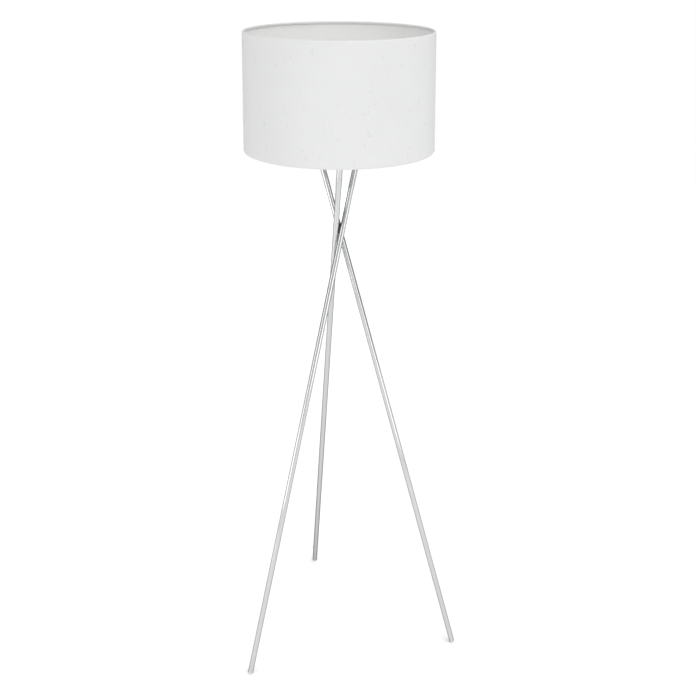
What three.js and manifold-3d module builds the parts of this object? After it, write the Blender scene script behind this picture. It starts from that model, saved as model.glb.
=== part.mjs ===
// Tripod floor lamp: three straight chromed tubes that lean across each other at a waist hub,
// a canopy that joins their upper ends, a lampholder with its bulb, and a fabric drum shade.
// Millimetres, +Z up. The floor is Z = 0 and the origin is the middle of the footprint.

import * as THREE from "three";
import { mergeVertices } from "three/addons/utils/BufferGeometryUtils.js";
import Module from "manifold-3d";

const wasm = await Module();
wasm.setup();

// ---------------------------------------------------------------- driving dimensions

const LAMP_HEIGHT = 1540;
const GAP = 0.3; // running gap between pieces that touch

// legs
const FOOT_CIRCLE_RADIUS = 309.3;
const WAIST_HEIGHT = 1086;
const WAIST_RADIUS = 8.54; // each tube's axis passes this far from the lamp's axis
const TUBE_RADIUS = 6.5;
const TUBE_WALL = 1;
const LEG_TOP_HEIGHT = 1289.3;
const FRONT_WAIST_TURN = THREE.MathUtils.degToRad(-48);
const LEG_NAMES = ["front", "right", "rear"];
const THIRD_TURN = (2 * Math.PI) / 3;

// foot glides
const GLIDE_DOME_RADIUS = 8;
const GLIDE_LIP_RADIUS = 6.7;
const GLIDE_LIP_HEIGHT = 1.6;
const GLIDE_FLAT_DEPTH = 0.6; // how much of the dome is flattened where it stands
const GLIDE_STEM_LENGTH = 16;

// waist hub
const HUB_RADIUS = 8;
const HUB_MIDDLE = 1099;
const HUB_HEIGHT = 18;

// canopy
const PLATE_RADIUS = 74;
const PLATE_BOTTOM = 1292;
const PLATE_THICKNESS = 3;
const PLATE_TOP = PLATE_BOTTOM + PLATE_THICKNESS;
const PLATE_EDGE = 1; // chamfer
const SLEEVE_RADIUS = 8.9;
const SLEEVE_BOTTOM = 1267;
const LOCK_HEIGHT = 1277;
const LOCK_SHANK = 2;
const LOCK_HEAD = 3.4;
const COVER_RADIUS = 72;
const COVER_WALL = 1.5;
const COVER_TOP = 1321;
const COVER_NECK_RADIUS = 24;
const COVER_SIDE_HEIGHT = 14;
const COVER_ROUND = 4; // height of the rounded shoulder
const COVER_SCREW_CIRCLE = 66;
const COVER_SCREW_RADIUS = 1.5;
const COVER_SCREW_HEAD = 2.9;
const FLANGE_INNER = 60;
const FLANGE = 2;
const LEAD_HOLE_RADIUS = 5.2;

// cord grip on the plate
const GRIP_PLACE = 26; // from the lamp's axis to the middle of the grip
const GRIP_SCREW_SIDE = 8.2; // from the lead to the screw of the grip
const GRIP_WALL = 2;
const GRIP_WIDTH = 7;
const GRIP_TOE = 3.6; // how far the foot goes past its screw

// nipple, nut and earth tag
const NIPPLE_RADIUS = 5;
const NIPPLE_BORE = 3.5;
const NIPPLE_BOTTOM = 1311.5;
const NIPPLE_TOP = 1329;
const NUT_RADIUS = 9.8;
const NUT_BOTTOM = 1313;
const NUT_TOP = 1317.8;
const TAG_RADIUS = 9;
const TAG_REACH = 17;
const TAG_HALF_WIDTH = 2;
const TAG_SPREAD = 0.35; // half the angle that the tag's arm takes up
const TAG_BOTTOM = 1318.1;
const TAG_TOP = 1319.2;

// lampholder
const HOLDER_RADIUS = 19.5;
const HOLDER_WALL = 2;
const CAP_BASE_RADIUS = 15.5;
const CAP_ROUND = 5;
const BOSS_RADIUS = 9;
const BOSS_BOTTOM = 1327.5;
const BOSS_TOP = 1330.5;
const HOLDER_SEAM = 1341; // where the cap of the lampholder meets its skirt
const HOLDER_TOP = 1379;
const SHOULDER_BOTTOM = 1346;
const SHOULDER_TOP = 1348.5;
const SHOULDER_RADIUS = 23;
const BLOCK_BOTTOM = 1334.5;
const BLOCK_NECK_RADIUS = 12.4;
const CONTACT_SEAT = 1349;
const CONTACT_WIDTH = 5;
const SCREW_SHELL_TOP = 1373;
const SCREW_SHELL_WALL = 0.8;
const CLEARANCE = 0.4; // room between the moulded pieces of the lampholder

// retaining ring
const RING_RADIUS = 27.2;
const RING_TOP_RADIUS = 25.4;
const RING_HEIGHT = 9;
const RING_GRIP_HEIGHT = 6.8;
const RING_CHAMFER = 0.8;

// bulb
const BULB_CAP_RADIUS = 13.2;
const BULB_CAP_BOTTOM = 1357;
const BULB_CAP_NOSE = 12; // radius of the cap's lower end
const BULB_NECK = 1380;
const BULB_WAIST = 1412; // where the plastic body meets the diffuser
const BULB_RADIUS = 30;
const BULB_TOP = 1459;
const BULB_GLASS = 1.4;
const BULB_FLARE = [[14, 1380], [15.4, 1386], [20.5, 1396], [26, 1406], [28.2, 1412]];
const TIP_OUTLINE = [[0, 1351.8], [2.6, 1352.2], [4.6, 1354], [4.6, 1355], [0, 1355]];
const INSULATOR_BOTTOM = 1355.3;
const INSULATOR_NOSE = 6;
const LED_BOARD_RADIUS = 22;
const LED_BOARD_TOP = 1413.9;

// drum shade
const SHADE_BOTTOM = 1281;
const SHADE_BOTTOM_RADIUS = 214.8;
const SHADE_TOP_RADIUS = 210.3;
const FABRIC = 0.8;
const LINER = 0.8;
const WIRE_RADIUS = 1.75;
const HEM = 14;
const SPOKE_RADIUS = 1.75;
const SPOKE_TURN = -Math.PI / 2; // the first of the three spokes
const SPOKE_LIFT = 0.9; // its outer end stands this far above the middle of the wire
const SPOKE_ROOM = 0.5; // room left for it in the cloth
const FITTER_RADIUS = 28;
const FITTER_THICKNESS = 2;

// supply lead inside the rear leg, and its gland
const LEAD_RADIUS = 2.8;
const LEAD_MIDLEG = 700;
const GLAND_HEIGHT = 46;
const GLAND_BODY = 3.9;
const GLAND_BORE = 3.2;
const GLAND_DEPTH = 4.3; // its inner end, from the leg's axis
const GLAND_FLANGE = 5.6;
const GLAND_FLANGE_TOP = 4.8;

// facets round each kind of piece
const SHADE_SIDES = 56;
const HOLDER_SIDES = 28;
const TUBE_SIDES = 24;
const SCREW_SIDES = 12;
const CANOPY_SIDES = 40;

// ---------------------------------------------------------------- finishes

const finish = (color, metalness, roughness) => ({ color, metalness, roughness });
const CHROME = finish(0xd4d6d8, 1, 0.16);
const STEEL = finish(0xb4b6b8, 1, 0.35);
const BRASS = finish(0xc9a557, 1, 0.3);
const ALUMINIUM = finish(0xc4c6c8, 1, 0.4);
const BLACK_PLASTIC = finish(0x161616, 0, 0.5);
const CLEAR_PLASTIC = finish(0xd9dad9, 0, 0.35);
const WHITE_PLASTIC = finish(0xeeeeec, 0, 0.4);
const PORCELAIN = finish(0xf2f0ea, 0, 0.25);
const PVC = finish(0xdcdcda, 0, 0.5);
const WHITE_WIRE = finish(0xf0f0ee, 0.1, 0.45);
const LINER_FILM = finish(0xe6e6e4, 0, 0.5);
const SHADE_CLOTH = finish(0xf1f1f0, 0, 0.9);
const OPAL = finish(0xf4f3ee, 0, 0.35);

// ---------------------------------------------------------------- shape helpers

/** A closed turned piece about Z from its outline, given as [radius, height] pairs. */
function turned(outline, sides) {
  const points = outline.map(([radius, height]) => new THREE.Vector2(radius, height));
  const onAxis = outline[0][0] === 0 && outline.at(-1)[0] === 0;
  if (!onAxis) {
    points.push(points[0].clone());
  }
  return new THREE.LatheGeometry(points, sides).rotateX(Math.PI / 2);
}

/** A pipe about Z. */
function pipe(inner, outer, low, high, sides) {
  return turned([[inner, low], [outer, low], [outer, high], [inner, high]], sides);
}

/** A solid round bar about Z. */
function bar(radius, low, high, sides) {
  return turned([[0, low], [radius, low], [radius, high], [0, high]], sides);
}

/** A wire ring about Z. */
function wireRing(radius, height, wire) {
  return new THREE.TorusGeometry(radius, wire, 6, SHADE_SIDES).translate(0, 0, height);
}

/** A round bar between two points. */
function rod(start, end, radius, sides) {
  const span = new THREE.Vector3().subVectors(end, start);
  const turn = new THREE.Quaternion().setFromUnitVectors(
    new THREE.Vector3(0, 0, 1),
    span.clone().normalize(),
  );
  return bar(radius, 0, span.length(), sides)
    .applyQuaternion(turn)
    .translate(start.x, start.y, start.z);
}

/** Points on an arc, as [x, y] pairs. */
function arc(centreX, centreY, radius, from, to, steps) {
  return Array.from({ length: steps + 1 }, (_, i) => {
    const angle = from + ((to - from) * i) / steps;
    return [centreX + radius * Math.cos(angle), centreY + radius * Math.sin(angle)];
  });
}

/** A triangle mesh as a solid that can be joined and cut. */
function solid(geometry) {
  const bare = geometry.clone();
  bare.deleteAttribute("normal");
  bare.deleteAttribute("uv");
  const merged = mergeVertices(bare, 1e-4);
  return new wasm.Manifold(
    new wasm.Mesh({
      numProp: 3,
      vertProperties: new Float32Array(merged.attributes.position.array),
      triVerts: new Uint32Array(merged.index.array),
    }),
  );
}

/** A solid as a triangle mesh again. */
function geometryOf(shape) {
  const mesh = shape.getMesh();
  const geometry = new THREE.BufferGeometry();
  geometry.setAttribute("position", new THREE.BufferAttribute(mesh.vertProperties, 3));
  geometry.setIndex(new THREE.BufferAttribute(mesh.triVerts, 1));
  geometry.computeVertexNormals();
  return geometry;
}

/** A piece with others cut out of it. */
function cut(geometry, ...cutters) {
  const rest = cutters.reduce((shape, cutter) => shape.subtract(solid(cutter)), solid(geometry));
  return geometryOf(rest);
}

/** A cheese-head screw along Z: its head's seat is at `seat` and its shank runs up to `tip`. */
function screw(shank, head, seat, tip) {
  const thick = head * 0.55;
  const slot = new THREE.BoxGeometry(head * 3, head * 0.28, thick);
  const outline = [
    [0, seat - thick],
    [head, seat - thick],
    [head, seat],
    [shank, seat],
    [shank, tip],
    [0, tip],
  ];
  return cut(turned(outline, SCREW_SIDES), slot.translate(0, 0, seat - thick * 1.1));
}

/** The place at a radius, turn and height about the lamp's axis. */
function polar(radius, turn, height) {
  return new THREE.Vector3(radius * Math.cos(turn), radius * Math.sin(turn), height);
}

// ---------------------------------------------------------------- the assembly

const lamp = new THREE.Group();

/** Adds one named piece to a group. */
function add(group, name, geometry, look) {
  const mesh = new THREE.Mesh(geometry, new THREE.MeshStandardMaterial(look));
  mesh.name = name;
  group.add(mesh);
  return mesh;
}

// ---------------------------------------------------------------- legs

const LEG_REACH = Math.sqrt(FOOT_CIRCLE_RADIUS ** 2 - WAIST_RADIUS ** 2);
const LEG_TILT = Math.atan2(LEG_REACH, WAIST_HEIGHT);

/** Where a leg's axis is at a height. */
function legPoint(index, height) {
  const turn = FRONT_WAIST_TURN + index * THIRD_TURN;
  const along = Math.tan(LEG_TILT) * (height - WAIST_HEIGHT);
  return polar(WAIST_RADIUS, turn, height).add(polar(along, turn + Math.PI / 2, 0));
}

/** A group whose Z runs up the leg from the floor, and whose X points away from the lamp. */
function legGroup(index) {
  const foot = legPoint(index, 0);
  const up = legPoint(index, LAMP_HEIGHT).sub(foot).normalize();
  const outward = foot.clone().normalize();
  const side = new THREE.Vector3().crossVectors(up, outward).normalize();
  const group = new THREE.Group();
  group.position.copy(foot);
  group.setRotationFromMatrix(
    new THREE.Matrix4().makeBasis(new THREE.Vector3().crossVectors(side, up), side, up),
  );
  group.updateMatrix();
  return group;
}

/** A shape given about the lamp's axis, moved into a leg's own group. */
function intoLeg(group, geometry) {
  return geometry.applyMatrix4(group.matrix.clone().invert());
}

/** Distance up a leg to a height. */
const upLeg = (height) => height / Math.cos(LEG_TILT);

const DOME_CENTRE = upLeg(GLIDE_DOME_RADIUS - GLIDE_FLAT_DEPTH);
const LIP_BOTTOM = DOME_CENTRE - Math.sqrt(GLIDE_DOME_RADIUS ** 2 - GLIDE_LIP_RADIUS ** 2);
const LIP_TOP = LIP_BOTTOM + GLIDE_LIP_HEIGHT;
const TUBE_BORE = TUBE_RADIUS - TUBE_WALL;

/** The domed plastic glide that plugs the lower end of a tube. */
function glideGeometry(group) {
  const lipAngle = -Math.acos(GLIDE_LIP_RADIUS / GLIDE_DOME_RADIUS);
  const dome = arc(0, DOME_CENTRE, GLIDE_DOME_RADIUS, -Math.PI / 2, lipAngle, 4);
  dome[0][0] = 0;
  const stem = TUBE_BORE - GAP;
  const plug = turned(
    [
      ...dome,
      [GLIDE_LIP_RADIUS, LIP_TOP],
      [stem, LIP_TOP],
      [stem, LIP_TOP + GLIDE_STEM_LENGTH - 2],
      [stem - 1.2, LIP_TOP + GLIDE_STEM_LENGTH],
      [0, LIP_TOP + GLIDE_STEM_LENGTH],
    ],
    TUBE_SIDES,
  );
  const floor = new THREE.BoxGeometry(80, 80, 40).translate(group.position.x, group.position.y, -20);
  return cut(plug, intoLeg(group, floor));
}

const GLAND_REACH = TUBE_RADIUS + GAP;

/** The round rubber gland where the lead leaves the rear leg, along X of the leg's group. */
function glandGeometry() {
  return turned(
    [
      [GLAND_BORE, GLAND_DEPTH],
      [GLAND_BODY, GLAND_DEPTH],
      [GLAND_BODY, GLAND_REACH],
      [GLAND_FLANGE, GLAND_REACH],
      [GLAND_FLANGE, GLAND_REACH + 1],
      [GLAND_FLANGE_TOP, GLAND_REACH + 2.2],
      [GLAND_BORE, GLAND_REACH + 2.2],
    ],
    TUBE_SIDES,
  )
    .rotateY(Math.PI / 2)
    .translate(0, 0, upLeg(GLAND_HEIGHT));
}

/** The sleeve under the canopy that holds the top of a leg, cut level with the plate. */
function sleeveGeometry(group) {
  const [low, high] = [upLeg(SLEEVE_BOTTOM), upLeg(PLATE_TOP + 8)];
  const sleeve = pipe(TUBE_RADIUS + GAP, SLEEVE_RADIUS, low, high, TUBE_SIDES);
  const above = new THREE.BoxGeometry(300, 300, 100).translate(0, 0, PLATE_BOTTOM - GAP + 50);
  const tapping = bar(LOCK_SHANK + GAP, 0, 2 * SLEEVE_RADIUS, SCREW_SIDES).rotateY(Math.PI / 2);
  return cut(sleeve, intoLeg(group, above), tapping.translate(0, 0, upLeg(LOCK_HEIGHT)));
}

const legs = LEG_NAMES.map((name, index) => {
  const group = legGroup(index);
  let tube = pipe(TUBE_BORE, TUBE_RADIUS, LIP_TOP + GAP, upLeg(LEG_TOP_HEIGHT), TUBE_SIDES);
  if (name === "rear") {
    const hole = bar(GLAND_BODY + GAP, 0, 2 * TUBE_RADIUS, TUBE_SIDES).rotateY(Math.PI / 2);
    tube = cut(tube, hole.translate(0, 0, upLeg(GLAND_HEIGHT)));
    add(group, "cord_gland", glandGeometry(), BLACK_PLASTIC);
  }
  add(group, `leg_tube_${name}`, tube, CHROME);
  add(group, `foot_glide_${name}`, glideGeometry(group), CLEAR_PLASTIC);
  add(group, `leg_sleeve_${name}`, sleeveGeometry(group), CHROME);
  const seat = SLEEVE_RADIUS + GAP;
  const lock = screw(LOCK_SHANK, LOCK_HEAD, -seat, -TUBE_RADIUS - GAP).rotateY(-Math.PI / 2);
  add(group, `leg_lock_screw_${name}`, lock.translate(0, 0, upLeg(LOCK_HEIGHT)), STEEL);
  lamp.add(group);
  return group;
});

// The hub fills the room between the three tubes just over the waist, and follows their twist.
const [hubLow, hubHigh] = [upLeg(HUB_MIDDLE - HUB_HEIGHT), upLeg(HUB_MIDDLE + HUB_HEIGHT)];
const tubeClearances = legs.map((group) =>
  bar(TUBE_RADIUS + GAP, hubLow, hubHigh, CANOPY_SIDES).applyMatrix4(group.matrix));
const hubBlank = bar(
  HUB_RADIUS,
  HUB_MIDDLE - HUB_HEIGHT / 2,
  HUB_MIDDLE + HUB_HEIGHT / 2,
  TUBE_SIDES,
);
add(lamp, "waist_hub", cut(hubBlank, ...tubeClearances), BLACK_PLASTIC);

// ---------------------------------------------------------------- canopy

const REAR = LEG_NAMES.indexOf("rear");
const leadEntry = legPoint(REAR, PLATE_TOP);
const leadTurn = Math.atan2(leadEntry.y, leadEntry.x);
const coverSeat = PLATE_TOP + GAP;

const coverScrewTurns = LEG_NAMES.map((_, i) => leadTurn + THIRD_TURN / 2 + i * THIRD_TURN);
const coverScrewHoles = coverScrewTurns.map((turn) => {
  const place = polar(COVER_SCREW_CIRCLE, turn, 0);
  return bar(COVER_SCREW_RADIUS + GAP, PLATE_BOTTOM - 5, coverSeat + FLANGE + 5, SCREW_SIDES)
    .translate(place.x, place.y, 0);
});

const gripPlace = polar(GRIP_PLACE, leadTurn, 0);
const gripSide = polar(GRIP_SCREW_SIDE, leadTurn + Math.PI / 2, 0);
const gripScrewPlace = gripPlace.clone().add(gripSide);
const gripScrewHole = bar(COVER_SCREW_RADIUS + GAP, PLATE_BOTTOM - 5, PLATE_TOP + 5, SCREW_SIDES)
  .translate(gripScrewPlace.x, gripScrewPlace.y, 0);
const leadHole = bar(LEAD_HOLE_RADIUS, PLATE_BOTTOM - 5, PLATE_TOP + 5, TUBE_SIDES)
  .translate(leadEntry.x, leadEntry.y, 0);

const plate = turned(
  [
    [0, PLATE_BOTTOM],
    [PLATE_RADIUS - PLATE_EDGE, PLATE_BOTTOM],
    [PLATE_RADIUS, PLATE_BOTTOM + PLATE_EDGE],
    [PLATE_RADIUS, PLATE_TOP - PLATE_EDGE],
    [PLATE_RADIUS - PLATE_EDGE, PLATE_TOP],
    [0, PLATE_TOP],
  ],
  CANOPY_SIDES,
);
add(lamp, "canopy_plate", cut(plate, ...coverScrewHoles, gripScrewHole, leadHole), CHROME);

const shoulder = coverSeat + COVER_SIDE_HEIGHT;
const coverInner = COVER_RADIUS - COVER_WALL;
const cover = turned(
  [
    [FLANGE_INNER, coverSeat],
    [COVER_RADIUS, coverSeat],
    [COVER_RADIUS, shoulder - COVER_ROUND],
    [COVER_RADIUS - 1.5, shoulder - 1],
    [COVER_RADIUS - COVER_ROUND - 1, shoulder],
    [COVER_NECK_RADIUS, COVER_TOP],
    [NIPPLE_RADIUS + GAP, COVER_TOP],
    [NIPPLE_RADIUS + GAP, COVER_TOP - COVER_WALL],
    [COVER_NECK_RADIUS, COVER_TOP - COVER_WALL],
    [coverInner - COVER_ROUND - 0.5, shoulder - COVER_WALL],
    [coverInner, shoulder - COVER_ROUND - 1],
    [coverInner, coverSeat + FLANGE],
    [FLANGE_INNER, coverSeat + FLANGE],
  ],
  CANOPY_SIDES,
);
add(lamp, "canopy_cover", cut(cover, ...coverScrewHoles, leadHole), CHROME);

coverScrewTurns.forEach((turn, i) => {
  const place = polar(COVER_SCREW_CIRCLE, turn, 0);
  const tip = coverSeat + FLANGE;
  const geometry = screw(COVER_SCREW_RADIUS, COVER_SCREW_HEAD, PLATE_BOTTOM - GAP, tip);
  add(lamp, `cover_screw_${i + 1}`, geometry.translate(place.x, place.y, 0), STEEL);
});

const nipple = pipe(NIPPLE_BORE, NIPPLE_RADIUS, NIPPLE_BOTTOM, NIPPLE_TOP, TUBE_SIDES);
add(lamp, "threaded_nipple", nipple, BRASS);

/** A ring with a hole for the nipple from an outline, between two heights. */
function nippleWasher(outline, low, high) {
  const hole = new THREE.Path().absarc(0, 0, NIPPLE_RADIUS + GAP, 0, 2 * Math.PI, true);
  outline.holes.push(hole);
  const options = { depth: high - low, bevelEnabled: false, curveSegments: 12 };
  return new THREE.ExtrudeGeometry(outline, options).translate(0, 0, low);
}

const corners = arc(0, 0, NUT_RADIUS, 0, (5 * Math.PI) / 3, 5);
const hexagon = new THREE.Shape(corners.map(([x, y]) => new THREE.Vector2(x, y)));
add(lamp, "nipple_nut", nippleWasher(hexagon, NUT_BOTTOM, NUT_TOP), STEEL);

const tag = new THREE.Shape();
tag.absarc(0, 0, TAG_RADIUS, TAG_SPREAD, 2 * Math.PI - TAG_SPREAD, false);
tag.lineTo(TAG_REACH, -TAG_HALF_WIDTH);
tag.absarc(TAG_REACH, 0, TAG_HALF_WIDTH, -Math.PI / 2, Math.PI / 2, false);
add(lamp, "earth_tag", nippleWasher(tag, TAG_BOTTOM, TAG_TOP), BRASS);

// The grip is a saddle over the lead, with one foot screwed to the plate.
const LEAD_RUN = PLATE_TOP + LEAD_RADIUS + 2 * GAP; // height of the lead's middle on the plate
const gripBore = LEAD_RADIUS + GAP;
const gripOuter = gripBore + GRIP_WALL;
const footEnd = GRIP_SCREW_SIDE + GRIP_TOE;
const gripBase = PLATE_TOP + GAP - LEAD_RUN;
const gripShape = new THREE.Shape();
gripShape.moveTo(gripBore, gripBase);
gripShape.lineTo(footEnd, gripBase);
gripShape.lineTo(footEnd, gripBase + GRIP_WALL);
gripShape.lineTo(gripOuter, gripBase + GRIP_WALL);
gripShape.lineTo(gripOuter, 0);
gripShape.absarc(0, 0, gripOuter, 0, Math.PI, false);
gripShape.lineTo(-gripOuter, gripBase);
gripShape.lineTo(-gripBore, gripBase);
gripShape.lineTo(-gripBore, 0);
gripShape.absarc(0, 0, gripBore, Math.PI, 0, true);
const gripOptions = { depth: GRIP_WIDTH, bevelEnabled: false, curveSegments: 8 };
const gripBlank = new THREE.ExtrudeGeometry(gripShape, gripOptions)
  .translate(0, 0, -GRIP_WIDTH / 2)
  .rotateX(Math.PI / 2)
  .rotateZ(leadTurn + Math.PI / 2)
  .translate(gripPlace.x, gripPlace.y, LEAD_RUN);
add(lamp, "cord_grip", cut(gripBlank, gripScrewHole.clone().translate(0, 0, 4)), BLACK_PLASTIC);

const gripScrewLength = PLATE_THICKNESS + GRIP_WALL + GAP;
const gripScrew = screw(COVER_SCREW_RADIUS, COVER_SCREW_HEAD, 0, gripScrewLength)
  .rotateX(Math.PI)
  .translate(gripScrewPlace.x, gripScrewPlace.y, PLATE_TOP + GRIP_WALL + 2 * GAP);
add(lamp, "cord_grip_screw", gripScrew, STEEL);

// ---------------------------------------------------------------- supply lead

/** A route read by its own parameter, so bends with close points get close steps. */
class Route extends THREE.CatmullRomCurve3 {
  constructor(points) {
    super(points, false, "centripetal");
  }

  getPointAt(fraction, target) {
    return this.getPoint(fraction, target);
  }

  getTangentAt(fraction, target) {
    return this.getTangent(fraction, target);
  }
}

const onRun = (radius, height) => polar(radius, leadTurn, height);
const rearFrame = legs[REAR].matrix;
const inRearLeg = (outward, height) =>
  new THREE.Vector3(outward, 0, upLeg(height)).applyMatrix4(rearFrame);
const leadRoute = [
  onRun(0, 1333),
  onRun(0, 1322),
  onRun(0, 1312),
  onRun(1.8, 1305.6),
  onRun(6, 1300.6),
  onRun(12, LEAD_RUN),
  onRun(22, LEAD_RUN),
  onRun(30, LEAD_RUN),
  onRun(38, 1300.6),
  onRun(45.5, 1305),
  onRun(53, 1307),
  onRun(59, 1304.2),
  legPoint(REAR, 1297),
  legPoint(REAR, 1289),
  legPoint(REAR, 1270),
  legPoint(REAR, LEAD_MIDLEG),
  legPoint(REAR, 75),
  inRearLeg(0, GLAND_HEIGHT + 13),
  inRearLeg(0, GLAND_HEIGHT + 7.5),
  inRearLeg(0.9, GLAND_HEIGHT + 3.2),
  inRearLeg(3.2, GLAND_HEIGHT + 0.5),
  inRearLeg(5.2, GLAND_HEIGHT),
  inRearLeg(7.4, GLAND_HEIGHT),
];
const leadSection = new THREE.Shape(
  arc(0, 0, LEAD_RADIUS, 0, (7 * Math.PI) / 4, 7).map(([x, y]) => new THREE.Vector2(x, y)),
);
const lead = new THREE.ExtrudeGeometry(leadSection, {
  steps: 3 * (leadRoute.length - 1),
  extrudePath: new Route(leadRoute),
});
add(lamp, "supply_lead", lead, PVC);

// ---------------------------------------------------------------- lampholder

const nippleHole = NIPPLE_RADIUS + GAP;
const holderInner = HOLDER_RADIUS - HOLDER_WALL;
const capOutline = [
  [nippleHole, COVER_TOP + GAP],
  [CAP_BASE_RADIUS, COVER_TOP + GAP],
  [HOLDER_RADIUS, COVER_TOP + GAP + CAP_ROUND],
  [HOLDER_RADIUS, HOLDER_SEAM],
  [holderInner, HOLDER_SEAM],
  [holderInner, BOSS_BOTTOM],
  [BOSS_RADIUS, BOSS_BOTTOM],
  [BOSS_RADIUS, BOSS_TOP],
  [nippleHole, BOSS_TOP],
];
add(lamp, "holder_cap", turned(capOutline, HOLDER_SIDES), WHITE_PLASTIC);

const blockRadius = holderInner - CLEARANCE;
const blockOutline = [
  [0, BLOCK_BOTTOM],
  [blockRadius, BLOCK_BOTTOM],
  [blockRadius, HOLDER_SEAM],
  [BLOCK_NECK_RADIUS, HOLDER_SEAM],
  [BLOCK_NECK_RADIUS, CONTACT_SEAT],
  [0, CONTACT_SEAT],
];
add(lamp, "contact_block", turned(blockOutline, HOLDER_SIDES), PORCELAIN);

const centreContact = new THREE.Shape();
centreContact.moveTo(-9, 0);
centreContact.lineTo(1, 0);
centreContact.lineTo(3, 1.4);
centreContact.lineTo(3, 2);
centreContact.lineTo(1.5, 2);
centreContact.lineTo(0, 1);
centreContact.lineTo(-9, 1);
const contactOptions = { depth: CONTACT_WIDTH, bevelEnabled: false };
const tongue = new THREE.ExtrudeGeometry(centreContact, contactOptions)
  .translate(0, 0, -CONTACT_WIDTH / 2)
  .rotateX(Math.PI / 2)
  .translate(0, 0, CONTACT_SEAT + GAP);
add(lamp, "centre_contact", tongue, BRASS);

const shellBore = BULB_CAP_RADIUS + 0.5;
const shellRadius = shellBore + SCREW_SHELL_WALL;
const shell = pipe(shellBore, shellRadius, CONTACT_SEAT + 0.5, SCREW_SHELL_TOP, HOLDER_SIDES);
add(lamp, "screw_shell", shell, ALUMINIUM);

const skirtBore = shellRadius + CLEARANCE;
const skirtOutline = [
  [skirtBore, HOLDER_SEAM + GAP],
  [HOLDER_RADIUS, HOLDER_SEAM + GAP],
  [HOLDER_RADIUS + 0.5, SHOULDER_BOTTOM],
  [SHOULDER_RADIUS, SHOULDER_BOTTOM],
  [SHOULDER_RADIUS, SHOULDER_TOP],
  [HOLDER_RADIUS, SHOULDER_TOP],
  [HOLDER_RADIUS, HOLDER_TOP - 1],
  [HOLDER_RADIUS - 1, HOLDER_TOP],
  [skirtBore, HOLDER_TOP],
];
add(lamp, "holder_skirt", turned(skirtOutline, HOLDER_SIDES), WHITE_PLASTIC);

const fitterBottom = SHOULDER_TOP + GAP;
const ringBottom = fitterBottom + FITTER_THICKNESS + GAP;
const ringBore = HOLDER_RADIUS + 0.7;
const ringOutline = [
  [ringBore, ringBottom],
  [RING_RADIUS - 0.7, ringBottom],
  [RING_RADIUS, ringBottom + RING_CHAMFER],
  [RING_RADIUS, ringBottom + RING_GRIP_HEIGHT],
  [RING_TOP_RADIUS, ringBottom + RING_HEIGHT],
  [ringBore, ringBottom + RING_HEIGHT],
];
add(lamp, "retaining_ring", turned(ringOutline, HOLDER_SIDES), WHITE_PLASTIC);

// ---------------------------------------------------------------- bulb

add(lamp, "bulb_tip_contact", turned(TIP_OUTLINE, SCREW_SIDES), ALUMINIUM);
const insulatorOutline = [
  [0, INSULATOR_BOTTOM],
  [INSULATOR_NOSE, INSULATOR_BOTTOM],
  [BULB_CAP_NOSE, BULB_CAP_BOTTOM - GAP],
  [0, BULB_CAP_BOTTOM - GAP],
];
add(lamp, "bulb_insulator", turned(insulatorOutline, HOLDER_SIDES), BLACK_PLASTIC);
const screwCapOutline = [
  [0, BULB_CAP_BOTTOM],
  [BULB_CAP_NOSE, BULB_CAP_BOTTOM],
  [BULB_CAP_RADIUS, BULB_CAP_BOTTOM + 2],
  [BULB_CAP_RADIUS, BULB_NECK - GAP],
  [0, BULB_NECK - GAP],
];
add(lamp, "bulb_screw_cap", turned(screwCapOutline, HOLDER_SIDES), ALUMINIUM);
const bodyOutline = [[0, BULB_NECK], ...BULB_FLARE, [0, BULB_WAIST]];
add(lamp, "bulb_body", turned(bodyOutline, HOLDER_SIDES), WHITE_PLASTIC);
const board = bar(LED_BOARD_RADIUS, BULB_WAIST + GAP, LED_BOARD_TOP, HOLDER_SIDES);
add(lamp, "led_board", board, ALUMINIUM);

const globeCentre = BULB_TOP - BULB_RADIUS;
const globeBottom = BULB_WAIST + GAP;
const globeBore = BULB_RADIUS - BULB_GLASS;
const globeStart = -Math.asin((globeCentre - globeBottom) / BULB_RADIUS);
const boreStart = -Math.asin((globeCentre - globeBottom) / globeBore);
const globeOutside = arc(0, globeCentre, BULB_RADIUS, globeStart, Math.PI / 2, 8);
const globeInside = arc(0, globeCentre, globeBore, Math.PI / 2, boreStart, 7);
globeOutside.at(-1)[0] = 0;
globeInside[0][0] = 0;
const globe = turned([[0, globeBottom], ...globeOutside], HOLDER_SIDES);
const globeRoom = turned(
  [[0, globeBottom - 1], [globeInside.at(-1)[0], globeBottom - 1], ...globeInside.reverse()],
  HOLDER_SIDES,
);
add(lamp, "bulb_diffuser", cut(globe, globeRoom), OPAL);

// ---------------------------------------------------------------- drum shade

const shadeSlope = (SHADE_TOP_RADIUS - SHADE_BOTTOM_RADIUS) / (LAMP_HEIGHT - SHADE_BOTTOM);
const shadeRadius = (height) => SHADE_BOTTOM_RADIUS + shadeSlope * (height - SHADE_BOTTOM);

// from the cloth's outer face to the middle of the wire
const WIRE_INSET = FABRIC + GAP + WIRE_RADIUS;
const LINER_START = 2 * WIRE_INSET - FABRIC + 0.2;

/** The section of the rolled edge, as [inward, from the rim] pairs, from the outside to inside. */
function rolledEdge() {
  const cloth = FABRIC + GAP + LINER + GAP; // the hem lies this far inside the cloth's outer face
  const outside = arc(WIRE_INSET, WIRE_INSET, WIRE_INSET, Math.PI, 2 * Math.PI, 4);
  const inside = arc(WIRE_INSET, WIRE_INSET, WIRE_INSET - FABRIC, 2 * Math.PI, Math.PI, 4);
  return [
    ...outside,
    [cloth + FABRIC + 1.6, 5.6],
    [cloth + FABRIC, 7.6],
    [cloth + FABRIC, HEM],
    [cloth, HEM],
    [cloth, 7.2],
    [cloth + 1.3, 5.2],
    ...inside,
  ];
}

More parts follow.
